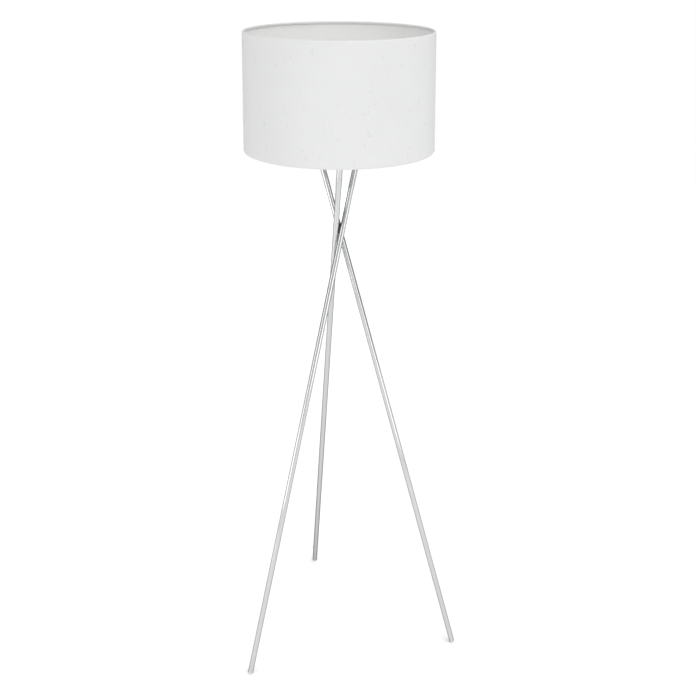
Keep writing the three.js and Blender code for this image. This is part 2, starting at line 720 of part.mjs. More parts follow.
/** A point of the shade's wall at a height, some way inside the cloth's outer face. */
const onWall = (inward, height) => [shadeRadius(height) - inward, height];

const bottomEdge = rolledEdge().map(([inward, up]) => onWall(inward, SHADE_BOTTOM + up));
const topEdge = rolledEdge().reverse().map(([inward, down]) => onWall(inward, LAMP_HEIGHT - down));
const cloth = turned([...bottomEdge, ...topEdge].reverse(), SHADE_SIDES);

const fitterMiddle = fitterBottom + FITTER_THICKNESS / 2;
const lowerWire = SHADE_BOTTOM + WIRE_INSET;
const lowerWireRadius = shadeRadius(lowerWire) - WIRE_INSET;
const spokeEnd = lowerWireRadius - WIRE_RADIUS - GAP;
const spokeTurns = [0, 1, 2].map((i) => SPOKE_TURN + i * THIRD_TURN);

/** A spoke, or the room for one, from the fitter's ring down to the lower wire. */
function spoke(turn, radius) {
  const inner = polar(FITTER_RADIUS + 2 * GAP, turn, fitterMiddle);
  const outer = polar(spokeEnd, turn, lowerWire + SPOKE_LIFT);
  return rod(inner, outer, radius, SCREW_SIDES);
}

const spokeRooms = spokeTurns.map((turn) => spoke(turn, SPOKE_RADIUS + SPOKE_ROOM));
add(lamp, "shade_cloth", cut(cloth, ...spokeRooms), SHADE_CLOTH);
const linerOuter = FABRIC + GAP;
const linerBottom = SHADE_BOTTOM + LINER_START;
const linerTop = LAMP_HEIGHT - LINER_START;
const linerOutline = [
  onWall(linerOuter + LINER, linerBottom),
  onWall(linerOuter, linerBottom),
  onWall(linerOuter, linerTop),
  onWall(linerOuter + LINER, linerTop),
];
add(lamp, "shade_liner", turned(linerOutline, SHADE_SIDES), LINER_FILM);
const upperWire = LAMP_HEIGHT - WIRE_INSET;
const upperWireRadius = shadeRadius(upperWire) - WIRE_INSET;
add(lamp, "shade_wire_bottom", wireRing(lowerWireRadius, lowerWire, WIRE_RADIUS), WHITE_WIRE);
add(lamp, "shade_wire_top", wireRing(upperWireRadius, upperWire, WIRE_RADIUS), WHITE_WIRE);
const fitterTop = fitterBottom + FITTER_THICKNESS;
const fitter = pipe(HOLDER_RADIUS + 1, FITTER_RADIUS, fitterBottom, fitterTop, HOLDER_SIDES);
add(lamp, "fitter_ring", fitter, WHITE_WIRE);
spokeTurns.forEach((turn, i) => {
  add(lamp, `fitter_spoke_${i + 1}`, spoke(turn, SPOKE_RADIUS), WHITE_WIRE);
});

// ---------------------------------------------------------------- origin

// The footprint's middle, from the feet and the shade, becomes the origin.
const feet = legs.map((group) => group.position);
const reach = (pick) => {
  const low = Math.min(-SHADE_BOTTOM_RADIUS, ...feet.map((foot) => pick(foot) - TUBE_RADIUS));
  const high = Math.max(SHADE_BOTTOM_RADIUS, ...feet.map((foot) => pick(foot) + TUBE_RADIUS));
  return (low + high) / 2;
};
lamp.position.set(-reach((foot) => foot.x), -reach((foot) => foot.y), 0);

const model = new THREE.Group();
model.add(lamp);

export default model;
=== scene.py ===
"""Looks of a tripod floor lamp: crossed chrome tubes, a canopy and lampholder, and a fabric drum shade."""

import logging
import math
from dataclasses import dataclass, field
from enum import Enum
from typing import Iterable, Sequence, Union

import bmesh
import bpy
from mathutils import Matrix, Vector


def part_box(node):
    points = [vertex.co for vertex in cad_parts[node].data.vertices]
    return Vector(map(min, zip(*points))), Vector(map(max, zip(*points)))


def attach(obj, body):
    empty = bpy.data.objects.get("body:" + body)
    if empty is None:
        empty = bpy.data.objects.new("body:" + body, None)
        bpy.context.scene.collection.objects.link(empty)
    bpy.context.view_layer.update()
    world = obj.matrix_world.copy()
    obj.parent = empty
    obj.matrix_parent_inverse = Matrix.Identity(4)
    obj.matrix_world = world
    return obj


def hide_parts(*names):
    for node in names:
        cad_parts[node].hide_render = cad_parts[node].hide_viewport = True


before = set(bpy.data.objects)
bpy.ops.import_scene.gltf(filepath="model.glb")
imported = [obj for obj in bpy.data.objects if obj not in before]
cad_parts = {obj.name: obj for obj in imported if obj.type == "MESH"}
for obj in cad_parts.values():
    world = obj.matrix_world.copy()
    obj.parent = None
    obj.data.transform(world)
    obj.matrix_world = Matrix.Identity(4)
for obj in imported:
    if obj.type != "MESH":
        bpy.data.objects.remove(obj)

LOG = logging.getLogger("tripod_floor_lamp")
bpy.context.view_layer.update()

THIRD_TURN = 2 * math.pi / 3
Outline = list[tuple[float, float]]
Colour = tuple[float, float, float]


class Body(Enum):
    """The lamp's moving bodies."""

    FRAME = "frame"
    SHADE = "shade"
    RING = "ring"
    BULB = "bulb"


# ------------------------------------------------------------------ node trees


class Signal:
    """One output socket, with the arithmetic that the finishes and trees write on it."""

    def __init__(self, tree: bpy.types.NodeTree, socket: bpy.types.NodeSocket) -> None:
        """Wraps a socket of a tree."""
        self.tree = tree
        self.socket = socket

    def _maths(self, operation: str, *values: "Feed") -> "Signal":
        """Adds a Math node.

        Args:
            operation: the Math node's operation.
            values: its inputs, in order.

        Returns:
            The node's result.
        """
        inputs = dict(enumerate(values))
        return add_node(self.tree, "ShaderNodeMath", {"operation": operation}, inputs)

    def __add__(self, other: "Feed") -> "Signal":
        """Sum."""
        return self._maths("ADD", self, other)

    __radd__ = __add__

    def __sub__(self, other: "Feed") -> "Signal":
        """Difference."""
        return self._maths("SUBTRACT", self, other)

    def __rsub__(self, other: "Feed") -> "Signal":
        """Difference, the other way round."""
        return self._maths("SUBTRACT", other, self)

    def __mul__(self, other: "Feed") -> "Signal":
        """Product."""
        return self._maths("MULTIPLY", self, other)

    __rmul__ = __mul__

    def __truediv__(self, other: "Feed") -> "Signal":
        """Quotient."""
        return self._maths("DIVIDE", self, other)

    def power(self, other: "Feed") -> "Signal":
        """This value to a power."""
        return self._maths("POWER", self, other)

    def cosine(self) -> "Signal":
        """Cosine of this angle."""
        return self._maths("COSINE", self)

    def ramp(self, low: float, high: float) -> "Signal":
        """Climbs smoothly from 0 at low to 1 at high."""
        settings = {"interpolation_type": "SMOOTHSTEP"}
        inputs = {"Value": self, "From Min": low, "From Max": high}
        return add_node(self.tree, "ShaderNodeMapRange", settings, inputs)


Feed = Union[Signal, float, int, Sequence[float], bpy.types.Material]


def add_node(
    tree: bpy.types.NodeTree,
    kind: str,
    settings: dict | None = None,
    inputs: dict | None = None,
    output: int | str = 0,
) -> Signal:
    """Adds a node to a tree.

    Args:
        tree: the tree that gets the node.
        kind: the node's type name.
        settings: its properties, set before its sockets.
        inputs: socket name or index to a value or a Signal.
        output: which output comes back.

    Returns:
        The asked output as a Signal.
    """
    node = tree.nodes.new(kind)
    for name, value in (settings or {}).items():
        setattr(node, name, value)
    for name, value in (inputs or {}).items():
        socket = node.inputs[name]
        if isinstance(value, Signal):
            tree.links.new(value.socket, socket)
        else:
            socket.default_value = value
    found = node.outputs[output] if len(node.outputs) else None
    return Signal(tree, found)


class Paint:
    """Builds one material's nodes."""

    def __init__(self, name: str) -> None:
        """Starts an empty material.

        Args:
            name: the material's name.
        """
        self.material = bpy.data.materials.new(name)
        self.material.use_nodes = True
        self.tree = self.material.node_tree
        self.tree.nodes.clear()

    def node(self, kind: str, settings: dict | None = None, inputs: dict | None = None,
             output: int | str = 0) -> Signal:
        """Adds any node. See add_node for the arguments and the result."""
        return add_node(self.tree, kind, settings, inputs, output)

    def place(self, centre: Vector = Vector(), turn: float = 0.0,
              stretch: Sequence[float] = (1, 1, 1)) -> Signal:
        """Object coordinates about a centre.

        Args:
            centre: the point that becomes zero.
            turn: the turn about Z that becomes zero.
            stretch: how much faster the pattern runs along each axis.

        Returns:
            The coordinates.
        """
        where = self.node("ShaderNodeTexCoord", output="Object")
        centred = self.node("ShaderNodeVectorMath", {"operation": "SUBTRACT"}, {0: where, 1: centre})
        inputs = {"Vector": centred, "Rotation": (0, 0, -turn), "Scale": tuple(stretch)}
        return self.node("ShaderNodeMapping", {"vector_type": "POINT"}, inputs)

    def noise(self, where: Signal, scale: float, detail: float = 2.0, rough: float = 0.5) -> Signal:
        """Cloudy noise from 0 to 1.

        Args:
            where: the coordinates.
            scale: how fine it is, per metre.
            detail: how many finer layers it has.
            rough: how strong the finer layers are.

        Returns:
            The noise.
        """
        inputs = {"Vector": where, "Scale": scale, "Detail": detail, "Roughness": rough}
        return self.node("ShaderNodeTexNoise", None, inputs)

    def bump(self, height: Signal, depth: float, strength: float = 1.0) -> Signal:
        """A normal from a height.

        Args:
            height: the relief, from 0 to 1.
            depth: how deep it is, in metres.
            strength: how much of it shows.

        Returns:
            The normal.
        """
        inputs = {"Height": height, "Distance": depth, "Strength": strength}
        return self.node("ShaderNodeBump", None, inputs)

    def tint(self, amount: Signal, dark: Colour, light: Colour) -> Signal:
        """A colour between two, by an amount from 0 to 1.

        Args:
            amount: 0 for the dark colour and 1 for the light one.
            dark: the first colour.
            light: the second colour.

        Returns:
            The mixed colour.
        """
        settings = {"data_type": "RGBA"}
        inputs = {0: amount, 6: (*dark, 1), 7: (*light, 1)}
        return self.node("ShaderNodeMix", settings, inputs, 2)

    def finish(self, inputs: dict) -> bpy.types.Material:
        """Closes the material with one surface shader.

        Args:
            inputs: the shader's sockets.

        Returns:
            The material.
        """
        surface = self.node("ShaderNodeBsdfPrincipled", None, inputs)
        self.node("ShaderNodeOutputMaterial", None, {"Surface": surface})
        return self.material


# ------------------------------------------------------------------ finishes


@dataclass(frozen=True)
class Plated:
    """Bright metal: a faint haze, fine handling marks and slightly uneven polish, and, where rim is set,
    painted dark reflection that darkens the colour towards the outline.
    """

    name: str
    slot: str
    colour: Colour
    roughness: float
    haze: float = 0.04
    grain: tuple[float, float, float] = (1, 1, 1)
    grain_scale: float = 900.0
    grain_depth: float = 0.000004
    edge: float = 1.0
    # rim sets the painted dark reflection: how far the colour darkens towards the outline.
    rim: float = 0.0

    def make(self) -> bpy.types.Material:
        """Builds the material.

        Returns:
            The material.
        """
        paint = Paint(self.name)
        where = paint.place()
        cloud = paint.noise(where, 14, 3)
        grain = paint.noise(paint.place(stretch=self.grain), self.grain_scale, 3, 0.6)
        marks = paint.noise(where, 160, 2).ramp(0.62, 0.8)
        rough = self.roughness + (cloud - 0.5) * self.haze * 2 + marks * self.haze * 0.6
        # Painted dark reflection: by rim, the colour darkens where the surface turns away from the view,
        # along the outline; the rest is random wear.
        outline_shade_mask = paint.node("ShaderNodeLayerWeight", None, {"Blend": 0.5}, "Facing")
        wear_and_outline_shade_tone = tuple((0.93 - 0.9 * self.rim) * part for part in self.colour)
        wear = (1 - cloud * 0.7 - grain * 0.3) * (1 - self.rim) * 0.5
        wear_and_outline_shade = wear + outline_shade_mask.ramp(0.25, 0.8) * self.rim
        return paint.finish({
            "Base Color": paint.tint(wear_and_outline_shade, self.colour, wear_and_outline_shade_tone),
            "Metallic": 1.0,
            "Roughness": rough,
            "Specular Tint": (self.edge, self.edge, self.edge, 1),
            "Normal": paint.bump(grain, self.grain_depth),
        })


@dataclass(frozen=True)
class Moulded:
    """Moulded plastic: a fine spark texture, slight sheen changes and soft mottling."""

    name: str
    slot: str
    colour: Colour
    roughness: float
    texture: float = 1400.0
    texture_depth: float = 0.00002
    see_through: float = 0.0

    def make(self) -> bpy.types.Material:
        """Builds the material.

        Returns:
            The material.
        """
        paint = Paint(self.name)
        where = paint.place()
        mottle = paint.noise(where, 40, 2)
        spark = paint.noise(where, self.texture, 2, 0.7)
        shade = tuple(0.9 * part for part in self.colour)
        return paint.finish({
            "Base Color": paint.tint(mottle, shade, self.colour),
            "Roughness": self.roughness + (mottle - 0.5) * 0.12 + (spark - 0.5) * 0.1,
            "Normal": paint.bump(spark, self.texture_depth),
            "Transmission Weight": self.see_through,
            "IOR": 1.49,
        })


@dataclass(frozen=True)
class Glazed:
    """Glazed porcelain or opal glass: a smooth skin over a slightly uneven body."""

    name: str
    slot: str
    colour: Colour
    roughness: float
    coat: float
    scatter: float = 0.0

    def make(self) -> bpy.types.Material:
        """Builds the material.

        Returns:
            The material.
        """
        paint = Paint(self.name)
        where = paint.place()
        body = paint.noise(where, 60, 3)
        orange_peel = paint.noise(where, 350, 1)
        shade = tuple(0.94 * part for part in self.colour)
        return paint.finish({
            "Base Color": paint.tint(body, shade, self.colour),
            "Roughness": self.roughness + (body - 0.5) * 0.06,
            "Coat Weight": self.coat,
            "Coat Roughness": 0.08,
            "Subsurface Weight": self.scatter,
            "Subsurface Radius": (0.004, 0.004, 0.0036),
            "Subsurface Scale": 1.0,
            "Normal": paint.bump(orange_peel, 0.00003),
        })


@dataclass(frozen=True)
class Coated:
    """Powder-coated wire: fine orange peel and a faintly cloudy tone."""

    name: str
    slot: str
    colour: Colour
    roughness: float

    def make(self) -> bpy.types.Material:
        """Builds the material.

        Returns:
            The material.
        """
        paint = Paint(self.name)
        where = paint.place()
        peel = paint.noise(where, 700, 2)
        cloud = paint.noise(where, 25, 3)
        shade = tuple(0.92 * part for part in self.colour)
        return paint.finish({
            "Base Color": paint.tint(cloud, shade, self.colour),
            "Roughness": self.roughness + (cloud - 0.5) * 0.15,
            "Normal": paint.bump(peel, 0.00006),
        })


@dataclass(frozen=True)
class WovenCloth:
    """Fine plain weave with sparse slubs, wrapped round a drum, with painted shade that darkens it towards
    its outline.
    """

    name: str
    slot: str
    colour: Colour
    centre: tuple[float, float, float]
    radius: float
    seam_turn: float
    threads: float = 1700.0
    relief: float = 0.00009

    def make(self) -> bpy.types.Material:
        """Builds the material.

        Returns:
            The material.
        """
        paint = Paint(self.name)
        where = paint.place(Vector(self.centre), self.seam_turn + math.pi)
        axes = [paint.node("ShaderNodeSeparateXYZ", None, {0: where}, i) for i in range(3)]
        settings = {"operation": "ARCTAN2"}
        around = paint.node("ShaderNodeMath", settings, {0: axes[1], 1: axes[0]}) * self.radius
        up = axes[2]
        turn = 2 * math.pi * self.threads
        warp = (around * turn).cosine()
        weft = (up * turn).cosine()
        weave = (warp * weft) * 0.25 + 0.5
        upright = self._slubs(paint, around, up, 1.0, 420, 16, 0.655)
        fine = self._slubs(paint, around, up, 2.0, 900, 34, 0.61)
        level = self._slubs(paint, up, around, 3.0, 500, 22, 0.70)
        yarn = paint.node("ShaderNodeAttribute", {"attribute_name": "slub"}, None, "Fac")
        slubs = upright + fine * 0.5 + level * 0.8
        warp_tone = self._threads(paint, around, 5.0)
        weft_tone = self._threads(paint, up, 6.0)
        cloud = paint.noise(where, 9, 3)
        tone = (
            0.52 + (warp_tone - 0.5) * 0.34 + (weft_tone - 0.5) * 0.16
            + (cloud - 0.5) * 0.3 + (weave - 0.5) * 0.25 - slubs * 0.25 - yarn * 1.5
        )
        # Painted shade: the cloth's colour darkens where its surface turns away from the view, towards the
        # drum's outline.
        edge = paint.node("ShaderNodeLayerWeight", None, {"Blend": 0.5}, "Facing").ramp(0.5, 1.0)
        amount = 1 - (1 - tone) * 0.4 - edge * 0.2
        shade = tuple(0.75 * part for part in self.colour)
        height = weave * 0.5 + slubs * 0.9 + (warp_tone - 0.5) * 0.4
        return paint.finish({
            "Base Color": paint.tint(amount, shade, self.colour),
            "Roughness": 0.82 + (cloud - 0.5) * 0.1,
            "Specular IOR Level": 0.25,
            "Normal": paint.bump(height, self.relief),
        })

    @staticmethod
    def _slubs(paint: Paint, across: Signal, along: Signal, seed: float,
               fine: float, long: float, start: float) -> Signal:
        """Thick places in the yarn: narrow across it and long along it.

        Args:
            paint: the material being built.
            across: distance across the yarn.
            along: distance along the yarn.
            seed: which set of slubs.
            fine: how narrow they are, per metre.
            long: how short they are, per metre.
            start: the noise level where a slub begins.

        Returns:
            0 between slubs and 1 on them.
        """
        where = paint.node("ShaderNodeCombineXYZ", None, {0: across * fine, 1: along * long, 2: seed})
        return paint.noise(where, 1.0, 1.0).ramp(start, start + 0.09)

    @staticmethod
    def _threads(paint: Paint, across: Signal, seed: float) -> Signal:
        """Each thread's own tone.

        Args:
            paint: the material being built.
            across: distance across the threads.
            seed: which set of threads.

        Returns:
            Noise that changes only across the threads.
        """
        where = paint.node("ShaderNodeCombineXYZ", None, {0: across * 650.0, 1: seed})
        return paint.noise(where, 1.0, 2.0, 0.7)


@dataclass(frozen=True)
class LinerFilm:
    """White shade film: satin, with slight waves and fine flecks."""

    name: str
    slot: str
    colour: Colour
    roughness: float

    def make(self) -> bpy.types.Material:
        """Builds the material.

        Returns:
            The material.
        """
        paint = Paint(self.name)
        where = paint.place()
        wave = paint.noise(where, 7, 2)
        fleck = paint.noise(where, 260, 2)
        shade = tuple(0.95 * part for part in self.colour)
        return paint.finish({
            "Base Color": paint.tint(wave * 0.6 + fleck * 0.4, shade, self.colour),
            "Roughness": self.roughness + (fleck - 0.5) * 0.1,
            "Normal": paint.bump(wave * 0.8 + fleck * 0.2, 0.00035),
        })


# ------------------------------------------------------------------ meshes


def rounded(outline: Outline, radius: float, steps: int = 4) -> Outline:
    """Rounds an open outline's corners.

    Args:
        outline: points as (radius, height).
        radius: the largest rounding.
        steps: points in each rounding.

    Returns:
        The outline with each inner corner as an arc.
    """
    made = [outline[0]]
    for before, corner, after in zip(outline, outline[1:], outline[2:]):
        here, back, on = Vector(corner), Vector(before), Vector(after)
        size = min(radius, 0.45 * (back - here).length, 0.45 * (on - here).length)
        start = here + (back - here).normalized() * size
        end = here + (on - here).normalized() * size
        for i in range(steps + 1):
            t = i / steps
            point = start * (1 - t) ** 2 + here * 2 * t * (1 - t) + end * t**2
            made.append((point.x, point.y))
    made.append(outline[-1])
    return made


def bar(radius: float, low: float, high: float) -> Outline:
    """A solid round bar's outline."""
    return [(0, low), (radius, low), (radius, high), (0, high)]


def ring_of(outline: Outline) -> Outline:
    """Closes an outline so that its first corner is rounded like the others."""
    middle = ((outline[0][0] + outline[-1][0]) / 2, (outline[0][1] + outline[-1][1]) / 2)
    return [middle, *outline, middle]


def turned(name: str, outline: Outline, sides: int) -> bpy.types.Mesh:
    """Turns an outline about Z.

    Args:
        name: the mesh's name.
        outline: (radius, height) points; it ends on the axis or on its own start.
        sides: facets round the axis.

    Returns:
        A closed mesh with its faces outwards.
    """
    closed = (Vector(outline[0]) - Vector(outline[-1])).length < 1e-9
    points = outline[:-1] if closed else outline
    shape = bmesh.new()
    rows: list[list[bmesh.types.BMVert]] = []
    for radius, height in points:
        count = 1 if abs(radius) < 1e-9 else sides
        angles = [2 * math.pi * i / sides for i in range(count)]
        rows.append([shape.verts.new((radius * math.cos(a), radius * math.sin(a), height)) for a in angles])
    pairs = list(zip(rows, rows[1:]))
    if closed:
        pairs.append((rows[-1], rows[0]))
    for low, high in pairs:
        for i in range(sides):
            corners = [low[i % len(low)], low[(i + 1) % len(low)],
                       high[(i + 1) % len(high)], high[i % len(high)]]
            corners = list(dict.fromkeys(corners))
            if len(corners) > 2:
                shape.faces.new(corners)
    return closed_mesh(shape, name)


def closed_mesh(shape: bmesh.types.BMesh, name: str) -> bpy.types.Mesh:
    """Merges doubles, points the faces out and writes the mesh.

    Args:
        shape: the shape, which is freed.
        name: the mesh's name.

    Returns:
        The mesh, shaded smooth with its edges kept sharp.
    """
    bmesh.ops.remove_doubles(shape, verts=shape.verts, dist=1e-7)
    bmesh.ops.recalc_face_normals(shape, faces=shape.faces)
    mesh = bpy.data.meshes.new(name)
    shape.to_mesh(mesh)
    shape.free()
    return smooth(mesh)


def smooth(mesh: bpy.types.Mesh, angle: float = 38.0) -> bpy.types.Mesh:
    """Shades a mesh smooth, and sharp where it turns by more than an angle in degrees."""
    mesh.shade_smooth()
    mesh.set_sharp_from_angle(angle=math.radians(angle))
    return mesh


def swept(name: str, path: Sequence[Vector], radius: float, sides: int) -> bpy.types.Mesh:
    """A round bar along a path, with closed ends.

    Args:
        name: the mesh's name.
        path: the bar's middle line.
        radius: the bar's radius.
        sides: facets round it.

    Returns:
        The mesh.
    """
    shape = bmesh.new()
    rows = []
    normal = (path[1] - path[0]).orthogonal().normalized()
    for i, point in enumerate(path):
        along = (path[min(i + 1, len(path) - 1)] - path[max(i - 1, 0)]).normalized()
        normal = (normal - along * normal.dot(along)).normalized()
        side = along.cross(normal)
        angles = [2 * math.pi * k / sides for k in range(sides)]
        rows.append([
            shape.verts.new(point + (normal * math.cos(a) + side * math.sin(a)) * radius) for a in angles
        ])
    for low, high in zip(rows, rows[1:]):
        for k in range(sides):
            nxt = (k + 1) % sides
            shape.faces.new((low[k], low[nxt], high[nxt], high[k]))
    shape.faces.new(list(reversed(rows[0])))
    shape.faces.new(rows[-1])
    return closed_mesh(shape, name)


def level_cut(mesh: bpy.types.Mesh, height: float, keep_above: bool) -> bpy.types.Mesh:
    """Cuts a mesh at a height and closes the cut.

    Args:
        mesh: the mesh.
        height: where it is cut.
        keep_above: which side stays.

    Returns:
        The same mesh, cut.
    """
    shape = bmesh.new()
    shape.from_mesh(mesh)
    cut = bmesh.ops.bisect_plane(
        shape, geom=[*shape.verts, *shape.edges, *shape.faces], plane_co=(0, 0, height),
        plane_no=(0, 0, 1), clear_inner=keep_above, clear_outer=not keep_above,
    )
    rim = [e for e in cut["geom_cut"] if isinstance(e, bmesh.types.BMEdge) and e.is_boundary]
    if _loop_count(rim) == 2:
        bmesh.ops.bridge_loops(shape, edges=rim)
    else:
        bmesh.ops.contextual_create(shape, geom=rim)
    bmesh.ops.recalc_face_normals(shape, faces=shape.faces)
    shape.to_mesh(mesh)
    shape.free()
    return smooth(mesh)


def _loop_count(edges: Iterable[bmesh.types.BMEdge]) -> int:
    """How many separate loops a set of edges makes."""
    left, loops = set(edges), 0
    while left:
        loops += 1
        front = [left.pop()]
        while front:
            corners = set(front.pop().verts)
            near = {e for e in left if corners & set(e.verts)}
            left -= near
            front.extend(near)
    return loops


def joined(name: str, *meshes: bpy.types.Mesh) -> bpy.types.Mesh:
    """Puts meshes together in one.

    Args:
        name: the new mesh's name.
        meshes: the meshes, which are deleted.

    Returns:
        The mesh.
    """
    shape = bmesh.new()
    for mesh in meshes:
        shape.from_mesh(mesh)
        bpy.data.meshes.remove(mesh)
    whole = bpy.data.meshes.new(name)
    shape.to_mesh(whole)
    shape.free()
    return smooth(whole)


def piece(name: str, mesh: bpy.types.Mesh) -> bpy.types.Object:
    """Links a mesh to the scene as an object at the origin."""
    made = bpy.data.objects.new(name, mesh)
    bpy.context.scene.collection.objects.link(made)
    return made


def baked(made: bpy.types.Object) -> bpy.types.Object:
    """Turns an object's modifiers into its plain mesh.

    Args:
        made: the object.

    Returns:
        The same object with a plain mesh and no modifiers.
    """
    graph = bpy.context.evaluated_depsgraph_get()
    mesh = bpy.data.meshes.new_from_object(made.evaluated_get(graph), depsgraph=graph)
    mesh.name = made.name
    if made.type == "MESH":
        made.modifiers.clear()
        old, made.data = made.data, mesh
        bpy.data.meshes.remove(old)
        return made
    name = made.name
    bpy.data.objects.remove(made)
    return piece(name, mesh)


def carved(made: bpy.types.Object, *tools: bpy.types.Mesh) -> bpy.types.Object:
    """Cuts shapes out of a piece.

    Args:
        made: the piece.
        tools: the shapes to cut, which are deleted.

    Returns:
        The piece, cut.
    """
    cutters = [piece(f"cutter_{i}", tool) for i, tool in enumerate(tools)]
    for cutter in cutters:
        step = made.modifiers.new("cut", "BOOLEAN")
        step.operation = "DIFFERENCE"
        step.solver = "EXACT"
        step.object = cutter
    made = baked(made)
    for cutter in cutters:
        mesh = cutter.data
        bpy.data.objects.remove(cutter)
        bpy.data.meshes.remove(mesh)
    smooth(made.data)
    return made


# ------------------------------------------------------------------ geometry trees


class ShapeTree:
    """A geometry tree with named inputs, which ends in Realize Instances and Set Material."""

    def __init__(self, name: str, inputs: dict[str, str]) -> None:
        """Starts the tree.

        Args:
            name: the tree's name.
            inputs: each input's name and socket type.
        """
        self.tree = bpy.data.node_groups.new(name, "GeometryNodeTree")
        sides = self.tree.interface
        sides.new_socket("Geometry", in_out="INPUT", socket_type="NodeSocketGeometry")
        self.identifiers = {}
        for label, kind in {**inputs, "Material": "NodeSocketMaterial"}.items():
            socket = sides.new_socket(label, in_out="INPUT", socket_type=kind)
            self.identifiers[label] = socket.identifier
        sides.new_socket("Geometry", in_out="OUTPUT", socket_type="NodeSocketGeometry")
        self.entry = self.tree.nodes.new("NodeGroupInput")

    def given(self, label: str) -> Signal:
        """The tree's own input of that name."""
        return Signal(self.tree, self.entry.outputs[label])

    def node(self, kind: str, settings: dict | None = None, inputs: dict | None = None,
             output: int | str = 0) -> Signal:
        """Adds any node. See add_node for the arguments and the result."""
        return add_node(self.tree, kind, settings, inputs, output)

    def _limit(self, value: Signal) -> Signal:
        """Keeps a value between 0 and 1."""
        return self.node("ShaderNodeClamp", None, {0: value})

    def close(self, shape: Signal) -> None:
        """Ends the tree.

        Args:
            shape: the geometry to give out.
        """
        real = self.node("GeometryNodeRealizeInstances", None, {0: shape})
        dressed = self.node("GeometryNodeSetMaterial", None,
                            {"Geometry": real, "Material": self.given("Material")})
        self.node("NodeGroupOutput", None, {0: dressed})

    def apply(self, made: bpy.types.Object, values: dict[str, Feed]) -> bpy.types.Object:
        """Runs the tree on a piece and keeps its result as a plain mesh.

        Args:
            made: the piece.
            values: each input's value by name.

        Returns:
            The piece.
        """
        step = made.modifiers.new(self.tree.name, "NODES")
        step.node_group = self.tree
        for label, value in values.items():
            step[self.identifiers[label]] = value
        return baked(made)


class Repeat(ShapeTree):
    """Copies of a piece at even turns round an upright axis."""

    def __init__(self) -> None:
        """Builds the tree."""
        super().__init__("repeat_round_axis", {"Count": "NodeSocketInt", "Centre": "NodeSocketVector"})
        count = self.given("Count")
        points = self.node("GeometryNodePoints", None, {"Count": count, "Position": self.given("Centre")})
        turn = self.node("GeometryNodeInputIndex") * (2 * math.pi) / count
        spin = self.node("ShaderNodeCombineXYZ", None, {2: turn})
        copies = self.node("GeometryNodeInstanceOnPoints", None,
                           {"Points": points, "Instance": self.given("Geometry"), "Rotation": spin})
        self.close(copies)


class Relief(ShapeTree):
    """Flutes or a screw thread pressed into a turned piece about Z."""

    def __init__(self) -> None:
        """Builds the tree."""
        super().__init__("relief_round_axis", {
            "Count": "NodeSocketInt", "Per Metre": "NodeSocketFloat", "Depth": "NodeSocketFloat",
            "Low": "NodeSocketFloat", "High": "NodeSocketFloat", "Fade": "NodeSocketFloat",
            "Beyond": "NodeSocketFloat", "Centre": "NodeSocketVector",
        })
        where = self.node("GeometryNodeInputPosition")
        x, y, z = (self.node("ShaderNodeSeparateXYZ", None, {0: where}, i) for i in range(3))
        angle = self.node("ShaderNodeMath", {"operation": "ARCTAN2"}, {0: y, 1: x})
        phase = angle * self.given("Count") - z * self.given("Per Metre") * (2 * math.pi)
        wave = 0.5 - phase.cosine() * 0.5
        fade = self.given("Fade")
        rise = self._limit((z - self.given("Low")) / fade)
        fall = self._limit((self.given("High") - z) / fade)
        radius = (x * x + y * y).power(0.5)
        outside = self.node("ShaderNodeMath", {"operation": "GREATER_THAN"},
                            {0: radius, 1: self.given("Beyond")})
        inward = wave * rise * fall * outside * self.given("Depth") / radius
        offset = self.node("ShaderNodeCombineXYZ", None,
                           {0: x * inward * -1.0, 1: y * inward * -1.0})
        shape = self.node("GeometryNodeSetPosition", None,
                          {"Geometry": self.given("Geometry"), "Offset": offset})
        moved = self.node("GeometryNodeTransform", None,
                          {"Geometry": shape, "Translation": self.given("Centre")})
        self.close(moved)


class DrumSweep(ShapeTree):
    """A wall section swept round an upright axis, with a glued lap that stands a little proud."""

    def __init__(self) -> None:
        """Builds the tree."""
        super().__init__("drum_sweep", {
            "Radius": "NodeSocketFloat", "Sides": "NodeSocketInt", "Lap Turn": "NodeSocketFloat",
            "Lap Width": "NodeSocketFloat", "Lap Step": "NodeSocketFloat", "Centre": "NodeSocketVector",
        })
        radius = self.given("Radius")
        path = self.node("GeometryNodeCurvePrimitiveCircle", {"mode": "RADIUS"},
                         {"Resolution": self.given("Sides"), "Radius": radius})
        wall = self.node("GeometryNodeCurveToMesh", None,
                         {"Curve": path, "Profile Curve": self.given("Geometry")})
        where = self.node("GeometryNodeInputPosition")
        x, y, _ = (self.node("ShaderNodeSeparateXYZ", None, {0: where}, i) for i in range(3))
        turn = self.given("Lap Turn")
        cosine, sine = (self.node("ShaderNodeMath", {"operation": kind}, {0: turn})
                        for kind in ("COSINE", "SINE"))
        ahead, aside = x * cosine + y * sine, y * cosine - x * sine
        along = self.node("ShaderNodeMath", {"operation": "ARCTAN2"}, {0: aside, 1: ahead}) * radius
        width = self.given("Lap Width")
        cut_edge = self._limit(along / 0.0006)
        taper = self._limit((width - along) / (width * 0.4))
        push = cut_edge * taper * self.given("Lap Step") / radius
        offset = self.node("ShaderNodeCombineXYZ", None, {0: x * push, 1: y * push})
        lapped = self.node("GeometryNodeSetPosition", None, {"Geometry": wall, "Offset": offset})
        moved = self.node("GeometryNodeTransform", None,
                          {"Geometry": lapped, "Translation": self.given("Centre")})
        self.close(self.node("GeometryNodeSetShadeSmooth", None, {"Geometry": moved}))


